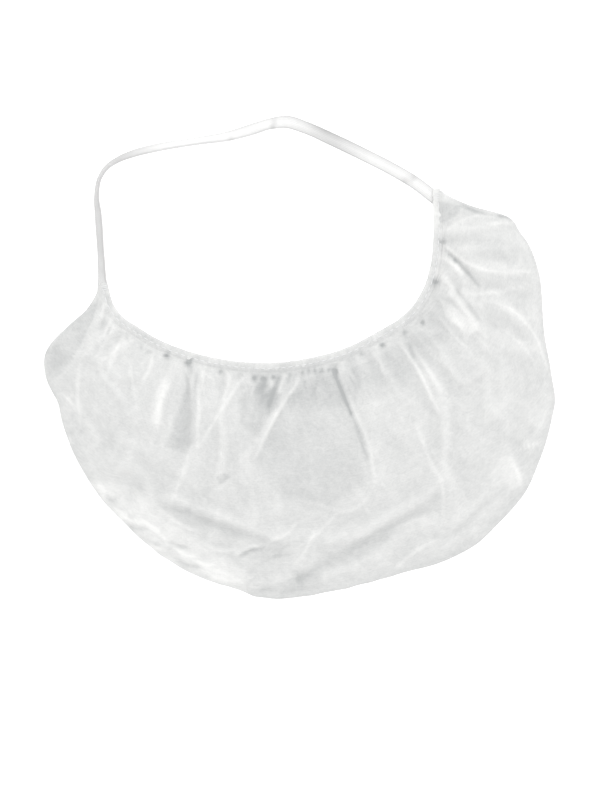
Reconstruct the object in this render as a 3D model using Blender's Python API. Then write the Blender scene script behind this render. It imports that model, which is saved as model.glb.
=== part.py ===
"""A disposable beard cover: a gathered pouch of thin non-woven cloth and one elastic head strap.

The cover lies loose on a flat surface, Z = 0, with the mouth of the pouch and the strap towards +Y.
The cloth is one sheet folded along the bottom of the pouch into a front layer, on top, and a back
layer, on the surface. Each layer ends at the mouth in a hem over elastic, and the ends of the
strap are sewn between the two hems. Lengths are in metres, angles in degrees.
"""

import math
from typing import NamedTuple

import bmesh
import bpy
import numpy as np
from mathutils import Matrix, Vector

# Mouth of the pouch
MOUTH_WIDTH = 0.1625  # from tip to tip, across
MOUTH_FALL = 0.083  # from the right tip down to the lowest point of the mouth
MOUTH_LIFT = 0.0135  # height of the front hem's middle above the surface

# Pouch
POUCH_DROP = 0.118  # from the mouth's middle down to the bottom fold
POUCH_SPREAD = 0.061  # how far the pouch reaches past the right tip
POUCH_LOFT = 0.0165  # how far the front layer bulges
WALL = 0.001

# Hems, a folded band of cloth over elastic
HEM_WIDTH = 0.0042
HEM_THICKNESS = 0.0016
BACK_SETBACK = 0.0035  # how far the back hem hides behind the front one, mid mouth

# Gathers and folds of the front layer
GATHER_COUNT = 20
GATHER_HEIGHT = 0.0024
GATHER_LENGTH = 0.024  # how far down the pouch the gathers fade away
GATHER_START = 0.005  # from the hem to where they are highest
FOLD_HEIGHT = 0.0038
FOLD_WIDTH = 0.0075

# Strap
STRAP_WIDTH = 0.00635
STRAP_THICKNESS = 0.001
STRAP_RISE = 0.0595  # how far the strap's crest stands off the line between the tips
STRAP_SEAT = 0.004  # how far each end of the strap lies between the hems

SEAT_GAP = 0.0003  # between pieces that touch

# Mesh
COLUMNS = 84
FRONT_ROWS = 15
FOLD_ROWS = 4
BACK_ROWS = 5
STRAP_RINGS = 84
MOUTH_SAMPLES = 600
ROW_SKEW = 1.25  # above 1, the front layer's rows crowd towards the hem
CROWN_SKEW = 0.75  # below 1, the front layer bulges nearer the hem than the bottom
TIP_EASE = (0.02, 0.40)  # shares of the crown between which gathers and folds come in
HEM_EASE = (0.0, 0.12)  # shares down the pouch between which the folds come in
BOTTOM_EASE = (0.86, 1.0)  # and between which they go out


class MouthPoint(NamedTuple):
    """A point of the mouth's edge, from the left tip to the right one."""

    across: float  # share of MOUTH_WIDTH from the left tip
    fall: float  # share of MOUTH_FALL below the right tip
    lift: float  # of the front hem, share of MOUTH_LIFT


class Section(NamedTuple):
    """A line of the pouch from the mouth's edge out to the bottom fold."""

    along: float  # share of the mouth's edge from the left tip
    spread: float  # to the fold in X, share of POUCH_SPREAD
    drop: float  # to the fold in -Y, share of POUCH_DROP
    crown: float  # share of POUCH_LOFT


class Ripple(NamedTuple):
    """One of the waves that add up to the gathers."""

    count: float  # share of GATHER_COUNT
    phase: float  # in turns
    height: float  # share of GATHER_HEIGHT


class Fold(NamedTuple):
    """A ridge or a valley of the front layer, straight in plan."""

    start: tuple[float, float]  # share of the pouch from left to right, share of its drop
    end: tuple[float, float]
    width: float  # share of FOLD_WIDTH
    height: float  # share of FOLD_HEIGHT, below zero in a valley


class StrapPoint(NamedTuple):
    """A point of the strap's centre line, from the left tip to the right one."""

    along: float  # share of the line between the tips
    rise: float  # share of STRAP_RISE above that line
    lean: float  # turn about the strap's own line, its inner edge up where above zero
    clear: float  # height of its lower edge, share of STRAP_WIDTH


MOUTH = (
    MouthPoint(0.000, 0.524, 0.00),
    MouthPoint(0.020, 0.657, 0.12),
    MouthPoint(0.046, 0.723, 0.20),
    MouthPoint(0.095, 0.789, 0.33),
    MouthPoint(0.151, 0.855, 0.50),
    MouthPoint(0.225, 0.916, 0.68),
    MouthPoint(0.323, 0.970, 0.86),
    MouthPoint(0.428, 1.000, 0.97),
    MouthPoint(0.529, 1.000, 1.00),
    MouthPoint(0.631, 0.970, 0.98),
    MouthPoint(0.735, 0.910, 0.90),
    MouthPoint(0.831, 0.812, 0.78),
    MouthPoint(0.892, 0.741, 0.68),
    MouthPoint(0.935, 0.663, 0.58),
    MouthPoint(0.966, 0.566, 0.47),
    MouthPoint(0.985, 0.464, 0.36),
    MouthPoint(0.997, 0.325, 0.22),
    MouthPoint(1.000, 0.181, 0.10),
    MouthPoint(1.000, 0.000, 0.00),
)

SECTIONS = (
    Section(0.000, -0.10, 0.07, 0.00),
    Section(0.022, -0.20, 0.07, 0.06),
    Section(0.047, -0.40, 0.10, 0.22),
    Section(0.066, -0.57, 0.16, 0.40),
    Section(0.087, -0.65, 0.23, 0.52),
    Section(0.121, -0.67, 0.33, 0.63),
    Section(0.167, -0.70, 0.44, 0.73),
    Section(0.205, -0.60, 0.61, 0.80),
    Section(0.243, -0.38, 0.79, 0.86),
    Section(0.294, -0.13, 0.93, 0.92),
    Section(0.368, 0.17, 1.00, 0.97),
    Section(0.439, 0.41, 0.97, 1.00),
    Section(0.511, 0.66, 0.92, 1.00),
    Section(0.587, 0.86, 0.89, 0.97),
    Section(0.656, 1.03, 0.81, 0.94),
    Section(0.700, 1.15, 0.64, 0.91),
    Section(0.739, 1.18, 0.46, 0.88),
    Section(0.774, 1.10, 0.31, 0.84),
    Section(0.815, 0.97, 0.16, 0.78),
    Section(0.862, 0.88, 0.04, 0.67),
    Section(0.905, 0.75, -0.02, 0.52),
    Section(0.935, 0.64, -0.03, 0.34),
    Section(0.968, 0.30, -0.02, 0.12),
    Section(1.000, 0.14, 0.00, 0.00),
)

RIPPLES = (
    Ripple(1.00, 0.00, 0.80),
    Ripple(0.80, 0.30, 0.35),
    Ripple(0.50, 0.20, 0.35),
)

FOLDS = (
    Fold((0.070, 0.10), (0.128, 0.42), 0.8, -0.7),
    Fold((0.205, 0.12), (0.225, 0.40), 0.9, 0.9),
    Fold((0.245, 0.10), (0.270, 0.48), 1.2, -0.9),
    Fold((0.305, 0.10), (0.310, 0.43), 0.8, 0.8),
    Fold((0.360, 0.06), (0.335, 0.55), 0.7, 0.6),
    Fold((0.445, 0.06), (0.405, 0.22), 0.8, -1.0),
    Fold((0.460, 0.08), (0.375, 0.38), 0.8, 1.1),
    Fold((0.545, 0.04), (0.527, 0.62), 0.7, -1.1),
    Fold((0.575, 0.10), (0.555, 0.60), 0.9, 0.8),
    Fold((0.640, 0.05), (0.620, 0.38), 0.8, -0.7),
    Fold((0.688, 0.08), (0.665, 0.44), 0.9, 0.9),
    Fold((0.665, 0.44), (0.615, 0.70), 0.9, 0.7),
    Fold((0.925, 0.06), (0.845, 0.42), 0.8, -1.0),
    Fold((0.885, 0.06), (0.787, 0.45), 0.9, 0.9),
    Fold((0.875, 0.40), (0.865, 0.80), 0.8, 0.6),
    Fold((0.838, 0.47), (0.800, 0.95), 0.8, 0.8),
    Fold((0.275, 0.76), (0.362, 0.76), 0.8, -1.0),
    Fold((0.280, 0.69), (0.370, 0.70), 1.0, 0.7),
    Fold((0.600, 0.76), (0.430, 0.92), 0.8, -1.0),
    Fold((0.600, 0.70), (0.470, 0.83), 0.9, 0.9),
)

STRAP = (
    StrapPoint(-0.020, 0.225, 60.0, 0.15),
    StrapPoint(-0.029, 0.593, 74.0, 0.05),
    StrapPoint(-0.034, 0.764, 82.0, 0.00),
    StrapPoint(-0.025, 0.900, 83.0, 0.00),
    StrapPoint(-0.003, 0.977, 78.0, 0.00),
    StrapPoint(0.031, 1.015, 66.0, 0.00),
    StrapPoint(0.077, 1.032, 50.0, 0.05),
    StrapPoint(0.151, 1.028, 40.0, 0.10),
    StrapPoint(0.274, 0.993, 36.0, 0.10),
    StrapPoint(0.375, 0.965, 32.0, 0.05),
    StrapPoint(0.443, 0.970, 27.0, 0.00),
    StrapPoint(0.498, 0.976, 18.0, 0.00),
    StrapPoint(0.551, 0.954, 0.0, 0.10),
    StrapPoint(0.606, 0.868, -20.0, 0.10),
    StrapPoint(0.683, 0.719, -16.0, 0.10),
    StrapPoint(0.785, 0.510, -4.0, 0.20),
    StrapPoint(0.883, 0.300, 2.0, 0.30),
    StrapPoint(0.938, 0.171, 2.0, 0.30),
)


def smooth(keys, rows, at):
    """The smooth curve through rows at their rising keys, read at each value of at."""
    keys, rows, at = np.asarray(keys, float), np.asarray(rows, float), np.asarray(at, float)
    if rows.ndim == 1:
        rows = rows[:, None]
    steps = np.diff(keys)
    slopes = np.diff(rows, axis=0) / steps[:, None]
    tangents = np.vstack([slopes[:1], np.zeros_like(rows[1:-1]), slopes[-1:]])
    before, after = steps[:-1, None], steps[1:, None]
    tangents[1:-1] = (slopes[:-1] * after + slopes[1:] * before) / (before + after)
    spot = np.clip(np.searchsorted(keys, at, side="right") - 1, 0, len(keys) - 2)
    step = steps[spot][:, None]
    t = ((at - keys[spot])[:, None]) / step
    return (
        rows[spot] * (1 + 2 * t) * (1 - t) ** 2
        + rows[spot + 1] * t**2 * (3 - 2 * t)
        + tangents[spot] * step * t * (1 - t) ** 2
        - tangents[spot + 1] * step * t**2 * (1 - t)
    )


def chord_keys(points):
    """Rising keys for points, from 0 to 1, in step with the chords between them."""
    chords = np.linalg.norm(np.diff(points, axis=0), axis=1)
    keys = np.concatenate([[0.0], np.cumsum(chords)])
    return keys / keys[-1]


def ramp(value, low, high):
    """0 below low, 1 above high and a smooth rise between."""
    t = np.clip((value - low) / (high - low), 0.0, 1.0)
    return t * t * (3 - 2 * t)


class Mouth:
    """The mouth's edge in plan and the two hems on it, read by the share along it."""

    def __init__(self):
        corner = np.array([-MOUTH_WIDTH / 2, MOUTH_FALL])
        points = np.array([(p.across * MOUTH_WIDTH, -p.fall * MOUTH_FALL) for p in MOUTH]) + corner
        rows = np.column_stack([points, [p.lift for p in MOUTH]])
        self.rows = smooth(chord_keys(points), rows, np.linspace(0, 1, MOUTH_SAMPLES))
        self.keys = chord_keys(self.rows[:, :2])
        self.length = np.linalg.norm(np.diff(self.rows[:, :2], axis=0), axis=1).sum()
        self.stack = 2 * HEM_THICKNESS + STRAP_THICKNESS + 2 * SEAT_GAP

    def at(self, along):
        """The points of the edge in plan."""
        return np.column_stack([np.interp(along, self.keys, self.rows[:, i]) for i in (0, 1)])

    def inward(self, along):
        """The unit vectors across the edge, into the pouch."""
        step = HEM_WIDTH / 2 / self.length
        ahead = self.at(np.clip(along + step, 0, 1)) - self.at(np.clip(along - step, 0, 1))
        ahead /= np.linalg.norm(ahead, axis=1)[:, None]
        return np.column_stack([ahead[:, 1], -ahead[:, 0]])

    def lift(self, along):
        """How far the front hem is lifted, from 0 at the tips to 1."""
        return np.interp(along, self.keys, self.rows[:, 2])

    def hem_height(self, along):
        """The height of the front hem's middle line, on top of the strap's ends at the tips."""
        tip = self.stack - HEM_THICKNESS / 2
        return tip + self.lift(along) * (MOUTH_LIFT - tip)

    def inside(self, along, distance, back=False):
        """The points at a distance into the pouch from the front or the back hem's edge."""
        offset = distance + (BACK_SETBACK * self.lift(along) if back else 0 * along)
        return self.at(along) + self.inward(along) * offset[:, None]

    def hem(self, back=False):
        """The middle line of a hem, from tip to tip, and the ways across it."""
        along = np.linspace(0, 1, COLUMNS + 1)
        height = np.full(len(along), HEM_THICKNESS / 2) if back else self.hem_height(along)
        line = np.column_stack([self.inside(along, HEM_WIDTH / 2, back), height])
        return line, np.column_stack([self.inward(along), np.zeros(len(along))])


class Pouch:
    """The outer skin of the pouch, read by the share across it, from left to right, and down it."""

    def __init__(self, mouth):
        self.mouth = mouth
        along = np.array([s.along for s in SECTIONS])
        reach = np.array([(s.spread * POUCH_SPREAD, -s.drop * POUCH_DROP) for s in SECTIONS])
        edge = mouth.at(along)
        self.keys = (chord_keys(edge) + chord_keys(edge + reach)) / 2
        self.rows = np.column_stack([along, reach, [s.crown for s in SECTIONS]])
        self.tab = (STRAP_SEAT + STRAP_WIDTH / 2 + SEAT_GAP) / mouth.length

    def columns(self, share):
        """The share along the mouth, the bottom fold and the crown at each share across."""
        rows = smooth(self.keys, self.rows, share)
        along = np.clip(rows[:, 0], 0, 1)
        fold = self.mouth.at(along) + rows[:, 1:3]
        return self.tab + along * (1 - 2 * self.tab), fold, np.clip(rows[:, 3], 0, 1)

    def line_ends(self, share, back=False):
        """Where each line of a layer starts, by the hem, and where it starts to turn under."""
        along, fold, _ = self.columns(share)
        start = self.mouth.inside(along, HEM_WIDTH + SEAT_GAP, back)
        out = fold - start
        out /= np.linalg.norm(out, axis=1)[:, None]
        return start, fold - out * self.mouth.stack / 2, out

    def plan(self, share, down, back=False):
        """Points in plan at each share across and down."""
        start, turn, _ = self.line_ends(share, back)
        return start + (turn - start) * down[:, None]

    def gathers(self, along, run):
        """The puckers that run down from the hem and fade away with the run from it."""
        wave = np.zeros(len(along))
        for ripple in RIPPLES:
            turns = ripple.count * GATHER_COUNT * along + ripple.phase
            wave += ripple.height * np.cos(2 * math.pi * turns)
        fade = np.exp(-run / GATHER_LENGTH) * ramp(run, 0, GATHER_START)
        return GATHER_HEIGHT * wave * fade

    def folds(self, spots):
        """The height that the folds add at each point in plan."""
        total = np.zeros(len(spots))
        for fold in FOLDS:
            ends = np.array([fold.start, fold.end])
            start, end = self.plan(ends[:, 0], ends[:, 1])
            run = end - start
            t = np.clip((spots - start) @ run / (run @ run), 0, 1)
            off = np.linalg.norm(spots - start - t[:, None] * run, axis=1)
            total += fold.height * FOLD_HEIGHT * np.exp(-((off / (fold.width * FOLD_WIDTH)) ** 2))
        return total

    def front(self, share, down):
        """The front layer's outer skin."""
        along, _, crown = self.columns(share)
        start, turn, _ = self.line_ends(share)
        spots = start + (turn - start) * down[:, None]
        low = self.mouth.hem_height(along) + WALL / 2
        height = low + (self.mouth.stack - low) * down
        height += crown * POUCH_LOFT * np.sin(math.pi * down**CROWN_SKEW)
        run = down * np.linalg.norm(turn - start, axis=1)
        height += self.gathers(along, run) * ramp(crown, *TIP_EASE) * (1 - down)
        inner = ramp(down, *HEM_EASE) * (1 - ramp(down, *BOTTOM_EASE))
        height += self.folds(spots) * inner * ramp(crown, *TIP_EASE)
        return np.column_stack([spots, height])

    def back(self, share, down):
        """The back layer's outer skin, flat on the surface."""
        return np.column_stack([self.plan(share, down, back=True), np.zeros(len(share))])

    def bottom_fold(self, share, turned):
        """The outer skin where the sheet turns under, turned from 0 on top to 1 below."""
        _, turn, out = self.line_ends(share)
        angle = math.pi * turned
        radius = self.mouth.stack / 2
        spots = turn + out * radius * math.sin(angle)
        return np.column_stack([spots, np.full(len(share), radius * (1 + math.cos(angle)))])

    def skin(self):
        """All rows of the outer skin, from the front hem round the bottom fold to the back one."""
        share = np.linspace(0, 1, COLUMNS + 1)
        same = np.ones_like(share)
        rows = []
        for row in range(FRONT_ROWS + 1):
            rows.append(self.front(share, same * (row / FRONT_ROWS) ** ROW_SKEW))
        for row in range(1, FOLD_ROWS):
            rows.append(self.bottom_fold(share, row / FOLD_ROWS))
        for row in range(BACK_ROWS + 1):
            rows.append(self.back(share, same * (1 - row / BACK_ROWS)))
        return rows


def new_material(name, colour, roughness):
    """A plain Principled material."""
    material = bpy.data.materials.new(name)
    material.use_nodes = True
    shader = material.node_tree.nodes["Principled BSDF"]
    shader.inputs["Base Color"].default_value = (*colour, 1.0)
    shader.inputs["Roughness"].default_value = roughness
    shader.inputs["Metallic"].default_value = 0.0
    return material


def new_object(name, bm, material, sharp_degrees=50.0):
    """A smooth-shaded object from a bmesh, its faces turned outward."""
    bmesh.ops.recalc_face_normals(bm, faces=bm.faces)
    mesh = bpy.data.meshes.new(name)
    bm.to_mesh(mesh)
    bm.free()
    mesh.shade_smooth()
    mesh.set_sharp_from_angle(angle=math.radians(sharp_degrees))
    mesh.materials.append(material)
    made = bpy.data.objects.new(name, mesh)
    bpy.context.scene.collection.objects.link(made)
    return made


def grid(bm, rows):
    """Quads between neighbouring rows of points."""
    verts = [[bm.verts.new(point) for point in row] for row in rows]
    for upper, lower in zip(verts, verts[1:]):
        for i in range(len(upper) - 1):
            bm.faces.new((upper[i], upper[i + 1], lower[i + 1], lower[i]))
    return verts


def band(name, line, sides, width, thickness, material):
    """A flat band with rounded edges swept along a line, sides pointing across it."""
    bevel = min(thickness / 2, width / 4)
    profile = [
        (width / 2, 0.0),
        (width / 2 - bevel, thickness / 2),
        (bevel - width / 2, thickness / 2),
        (-width / 2, 0.0),
        (bevel - width / 2, -thickness / 2),
        (width / 2 - bevel, -thickness / 2),
    ]
    bm = bmesh.new()
    rings = []
    ahead = np.gradient(line, axis=0)
    for point, side, way in zip(line, sides, ahead):
        across = Vector(side).normalized()
        up = Vector(way).cross(across).normalized()
        rings.append([Vector(point) + across * x + up * z for x, z in profile])
    rings = [[bm.verts.new(corner) for corner in ring] for ring in rings]
    for ring, following in zip(rings, rings[1:]):
        for i in range(len(profile)):
            j = (i + 1) % len(profile)
            bm.faces.new((ring[i], ring[j], following[j], following[i]))
    bm.faces.new(rings[0])
    bm.faces.new(reversed(rings[-1]))
    return new_object(name, bm, material)


def build_pouch(mouth):
    """The cloth pouch: its outer skin, thickened inward."""
    bm = bmesh.new()
    grid(bm, Pouch(mouth).skin())
    cloth = new_material("pouch_cloth", (0.86, 0.87, 0.87), 0.9)
    made = new_object("pouch", bm, cloth)
    solidify = made.modifiers.new("wall", "SOLIDIFY")
    solidify.thickness = WALL
    solidify.offset = -1.0
    solidify.use_even_offset = True


def build_hems(mouth):
    """The two hems, one on each edge of the mouth."""
    front_cloth = new_material("front_hem_cloth", (0.88, 0.89, 0.89), 0.85)
    back_cloth = new_material("back_hem_cloth", (0.84, 0.85, 0.85), 0.85)
    band("front_hem", *mouth.hem(), HEM_WIDTH, HEM_THICKNESS, front_cloth)
    band("back_hem", *mouth.hem(back=True), HEM_WIDTH, HEM_THICKNESS, back_cloth)


def strap_line(mouth):
    """The strap's middle line and its lean, from one end between the hems to the other."""
    ends = np.array([0.0, 1.0])
    tips = mouth.at(ends)
    spots = tips[0] + np.array([p.along * (tips[1] - tips[0]) for p in STRAP])
    spots[:, 1] += np.array([p.rise for p in STRAP]) * STRAP_RISE
    seats = mouth.inside(ends, HEM_WIDTH / 2)
    runs = seats - spots[[0, -1]]
    runs /= np.linalg.norm(runs, axis=1)[:, None]
    hems = mouth.inside(np.abs(ends - STRAP_SEAT / mouth.length), HEM_WIDTH / 2) - seats
    hems /= np.linalg.norm(hems, axis=1)[:, None]
    buried = seats + (runs + hems) / 2 * STRAP_SEAT
    spots = np.vstack([buried[:1], seats[:1], spots, seats[1:], buried[1:]])

    lean = np.radians([0, 0] + [p.lean for p in STRAP] + [0, 0])
    height = np.full(len(lean), mouth.stack / 2)
    height[2:-2] = half_height(lean[2:-2]) + np.array([p.clear for p in STRAP]) * STRAP_WIDTH
    rows = np.column_stack([spots, height, lean])
    rows = smooth(chord_keys(spots), rows, np.linspace(0, 1, STRAP_RINGS + 1))
    rows[:, 2] = np.maximum(rows[:, 2], half_height(rows[:, 3]))
    return rows[:, :3], rows[:, 3]


def build_strap(mouth):
    """The flat elastic strap from tip to tip, leaning as it curves along the surface."""
    line, lean = strap_line(mouth)
    ahead = np.gradient(line[:, :2], axis=0)
    ahead /= np.linalg.norm(ahead, axis=1)[:, None]
    level = np.column_stack([ahead[:, 1], -ahead[:, 0]]) * np.cos(lean)[:, None]
    elastic = new_material("strap_elastic", (0.9, 0.9, 0.9), 0.6)
    band("strap", line, np.column_stack([level, np.sin(lean)]), STRAP_WIDTH, STRAP_THICKNESS, elastic)


def half_height(lean):
    """How far the strap reaches below its middle line at each lean."""
    return STRAP_WIDTH / 2 * np.abs(np.sin(lean)) + STRAP_THICKNESS / 2 * np.cos(lean)


def centre_pieces():
    """Move every piece so that the middle of the whole is over the origin, resting on Z = 0."""
    pieces = list(bpy.context.scene.collection.objects)
    bpy.context.view_layer.update()
    corners = np.array(
        [piece.matrix_world @ Vector(corner) for piece in pieces for corner in piece.bound_box]
    )
    low, high = corners.min(axis=0), corners.max(axis=0)
    middle = (low + high) / 2
    for piece in pieces:
        piece.data.transform(Matrix.Translation((-middle[0], -middle[1], -low[2])))


def main():
    for old in list(bpy.data.objects):
        bpy.data.objects.remove(old, do_unlink=True)
    mouth = Mouth()
    build_pouch(mouth)
    build_hems(mouth)
    build_strap(mouth)
    centre_pieces()


main()
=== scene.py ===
"""A disposable beard cover, dressed: a gathered non-woven pouch, two hems, the strap and the stitches.

The cover lies loose on a pale floor, Z = 0, with the mouth and the strap towards +Y. The pouch is one
sheet of cloth folded along its bottom, gathered to the mouth by a cloth simulation and then creased.
Lengths are in metres and angles in degrees, unless a name says otherwise.
"""

import logging
import math
from dataclasses import dataclass, field
from enum import Enum
from typing import Any, Callable, NamedTuple, TypeVar

import bmesh
import bpy
import numpy as np
from mathutils import Matrix, Vector


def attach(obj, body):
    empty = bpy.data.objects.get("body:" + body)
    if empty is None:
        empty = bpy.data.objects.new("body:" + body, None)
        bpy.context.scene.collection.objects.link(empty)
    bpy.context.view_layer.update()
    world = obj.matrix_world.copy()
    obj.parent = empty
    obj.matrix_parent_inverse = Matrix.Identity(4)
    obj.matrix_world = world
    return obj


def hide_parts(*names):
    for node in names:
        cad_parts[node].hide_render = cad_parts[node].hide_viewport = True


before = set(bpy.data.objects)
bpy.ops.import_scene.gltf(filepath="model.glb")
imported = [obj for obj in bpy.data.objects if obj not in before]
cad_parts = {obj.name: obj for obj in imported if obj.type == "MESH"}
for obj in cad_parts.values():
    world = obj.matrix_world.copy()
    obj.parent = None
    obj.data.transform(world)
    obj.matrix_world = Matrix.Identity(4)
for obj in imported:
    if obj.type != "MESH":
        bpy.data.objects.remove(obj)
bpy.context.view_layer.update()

Array = np.ndarray
Piece = bpy.types.Object
Socket = bpy.types.NodeSocket
Pair = tuple[float, float]
Place = tuple[float, float, float]
Colour = tuple[float, float, float]
Row = TypeVar("Row")

LOG = logging.getLogger("beard_cover")
BODY = "root"
CLOTH_MAP = "cloth"
# The mesh attribute that moves the colour: the cloth's own tone where it lies double, and painted light
# and shade.
TONE_AND_PAINTED_LIGHT = "fold_light"
FLAT_LENGTH = 0.457  # of the cloth along the mouth, before it is gathered
PLAIN_LIGHT = 0.5  # how light the cloth is where no tone, painted light or painted shade marks it


class Layer(Enum):
    """The layer of the pouch that a hem or a row of cloth belongs to."""

    FRONT = "front"
    BACK = "back"


class MouthPoint(NamedTuple):
    """A point of the mouth's edge, from the left tip to the right one."""

    across: float
    fall: float
    lift: float


class Section(NamedTuple):
    """A line of the pouch from the mouth's edge out to the bottom fold."""

    along: float
    spread: float
    drop: float
    crown: float


class StrapPoint(NamedTuple):
    """A point of the strap's centre line, from the left tip to the right one."""

    along: float
    rise: float
    lean: float
    clear: float


class Crease(NamedTuple):
    """A ridge or a valley of the front layer, along points given by share across and share down."""

    path: tuple[Pair, ...]
    left: float  # width on the side of the lower shares across, in mm
    right: float  # width on the other side, in mm
    height: float  # in mm, below zero in a valley


class FoldLine(NamedTuple):
    """A fine fold of the front layer, along points in plan in mm."""

    path: tuple[Pair, ...]
    light: float  # how much lighter the cloth is along it, where it lies double; below zero, painted shade in a valley
    height: float = 0.4  # in mm, below zero in a valley
    width: float = 0.95  # in mm


class Pit(NamedTuple):
    """A small pit beside the hem, darkened by painted shade, its place in plan in mm."""

    across: float
    up: float
    width: float  # in mm
    depth: float  # in mm
    dark: float

    def line(self) -> FoldLine:
        """The pit as a fold line 2 mm long."""
        path = ((self.across, self.up + 1), (self.across, self.up - 1))
        return FoldLine(path, -self.dark, -self.depth, self.width)


class Patch(NamedTuple):
    """A part of the front layer, lighter or darker where it lies single or double and by painted light
    and shade, its corners in plan in mm.
    """

    corners: tuple[Pair, ...]
    soft: float  # width of its edge, in mm
    light: float  # how much lighter it is, below zero darker; partly painted light and shade


class EdgeBulge(NamedTuple):
    """A place where the bottom fold lies out from its even line, or in from it."""

    share: float  # across the pouch
    reach: float  # half its width, as a share
    out: float  # in mm, below zero where the fold lies in


class Gather(NamedTuple):
    """A pit that the gathered hem draws into the cloth."""

    along: float
    depth: float


class StrapTwistShade(NamedTuple):
    """A short patch of painted shade across the strap, where it twists away from the light."""

    share: float  # along the strap
    reach: float  # half its length, as a share
    across: float  # from -0.5 to 0.5 on the side towards the mouth
    wide: float  # half its width, as a share of the strap's
    dark: float


class Seam(NamedTuple):
    """A seam or a fold's edge along a hem, its places across from -1 at the mouth's edge to 1."""

    place: float
    deep: float  # as a share of the hem's seam depth
    groove: float  # the groove's width
    dark: float  # as a share of the seams' painted shade
    shadow: float  # the shadow's width


def table(kind: Callable[..., Row], *rows: tuple) -> tuple[Row, ...]:
    """The rows of a table, their columns named by a kind of row."""
    return tuple(kind(*row) for row in rows)


MOUTH = table(
    MouthPoint,
    (0.000, 0.524, 0.00),
    (0.020, 0.657, 0.12),
    (0.046, 0.723, 0.20),
    (0.095, 0.789, 0.33),
    (0.151, 0.855, 0.50),
    (0.225, 0.916, 0.68),
    (0.323, 0.970, 0.86),
    (0.428, 1.000, 0.97),
    (0.529, 1.000, 1.00),
    (0.631, 0.970, 0.98),
    (0.735, 0.910, 0.90),
    (0.831, 0.812, 0.78),
    (0.892, 0.741, 0.68),
    (0.935, 0.663, 0.58),
    (0.966, 0.566, 0.47),
    (0.985, 0.464, 0.36),
    (0.997, 0.325, 0.22),
    (1.000, 0.181, 0.10),
    (1.000, 0.000, 0.00),
)

SECTIONS = table(
    Section,
    (0.000, -0.095, 0.045, 0.00),
    (0.022, -0.20, 0.07, 0.06),
    (0.047, -0.40, 0.10, 0.22),
    (0.066, -0.57, 0.16, 0.40),
    (0.087, -0.65, 0.23, 0.52),
    (0.121, -0.67, 0.33, 0.63),
    (0.167, -0.70, 0.44, 0.73),
    (0.205, -0.60, 0.61, 0.80),
    (0.243, -0.38, 0.79, 0.86),
    (0.294, -0.13, 0.93, 0.92),
    (0.368, 0.17, 1.00, 0.97),
    (0.439, 0.41, 0.97, 1.00),
    (0.511, 0.66, 0.92, 1.00),
    (0.587, 0.86, 0.89, 0.97),
    (0.656, 1.03, 0.81, 0.94),
    (0.700, 1.15, 0.64, 0.91),
    (0.739, 1.18, 0.46, 0.88),
    (0.774, 1.10, 0.31, 0.84),
    (0.815, 0.97, 0.16, 0.78),
    (0.862, 0.88, 0.04, 0.67),
    (0.905, 0.75, -0.02, 0.52),
    (0.935, 0.64, -0.03, 0.34),
    (0.968, 0.30, -0.02, 0.12),
    (1.000, 0.14, 0.00, 0.00),
)

EDGE_BULGES = table(
    EdgeBulge,
    (0.040, 0.010, -1.2),
    (0.069, 0.020, 1.7),
    (0.120, 0.015, -1.0),
    (0.205, 0.055, 2.5),
    (0.260, 0.018, 0.6),
    (0.345, 0.026, -2.0),
    (0.510, 0.016, 0.6),
    (0.640, 0.020, -1.3),
    (0.683, 0.014, 0.8),
    (0.760, 0.012, 1.4),
    (0.805, 0.022, -1.2),
    (0.920, 0.012, -1.0),
    (0.965, 0.026, 1.8),
)

STRAP_LINE = table(
    StrapPoint,
    (-0.020, 0.225, 56.0, 0.10),
    (-0.029, 0.593, 57.0, 0.05),
    (-0.034, 0.764, 68.0, 0.00),
    (-0.025, 0.900, 70.0, 0.00),
    (-0.003, 0.977, 66.0, 0.00),
    (0.031, 1.015, 62.0, 0.00),
    (0.077, 1.032, 54.0, 0.05),
    (0.151, 1.028, 50.0, 0.10),
    (0.274, 0.993, 52.0, 0.10),
    (0.375, 0.965, 38.0, 0.05),
    (0.443, 0.970, 26.0, 0.00),
    (0.498, 0.976, 28.0, 0.00),
    (0.551, 0.954, 4.0, 0.10),
    (0.606, 0.868, -20.0, 0.10),
    (0.683, 0.719, -16.0, 0.10),
    (0.785, 0.510, -4.0, 0.20),
    (0.883, 0.300, 2.0, 0.30),
    (0.938, 0.171, 2.0, 0.30),
)

# Painted shade where the strap twists away from the light.
STRAP_TWIST_SHADES = table(
    StrapTwistShade,
    (0.519, 0.006, 0.45, 0.30, 0.16),
    (0.607, 0.006, 0.30, 0.30, 0.26),
    (0.614, 0.006, -0.10, 0.30, 0.26),
    (0.715, 0.030, -0.30, 0.35, 0.20),
    (0.745, 0.055, 0.10, 0.80, 0.22),
    (0.905, 0.008, 0.30, 0.35, 0.22),
    (0.917, 0.007, -0.20, 0.35, 0.24),
)

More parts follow.
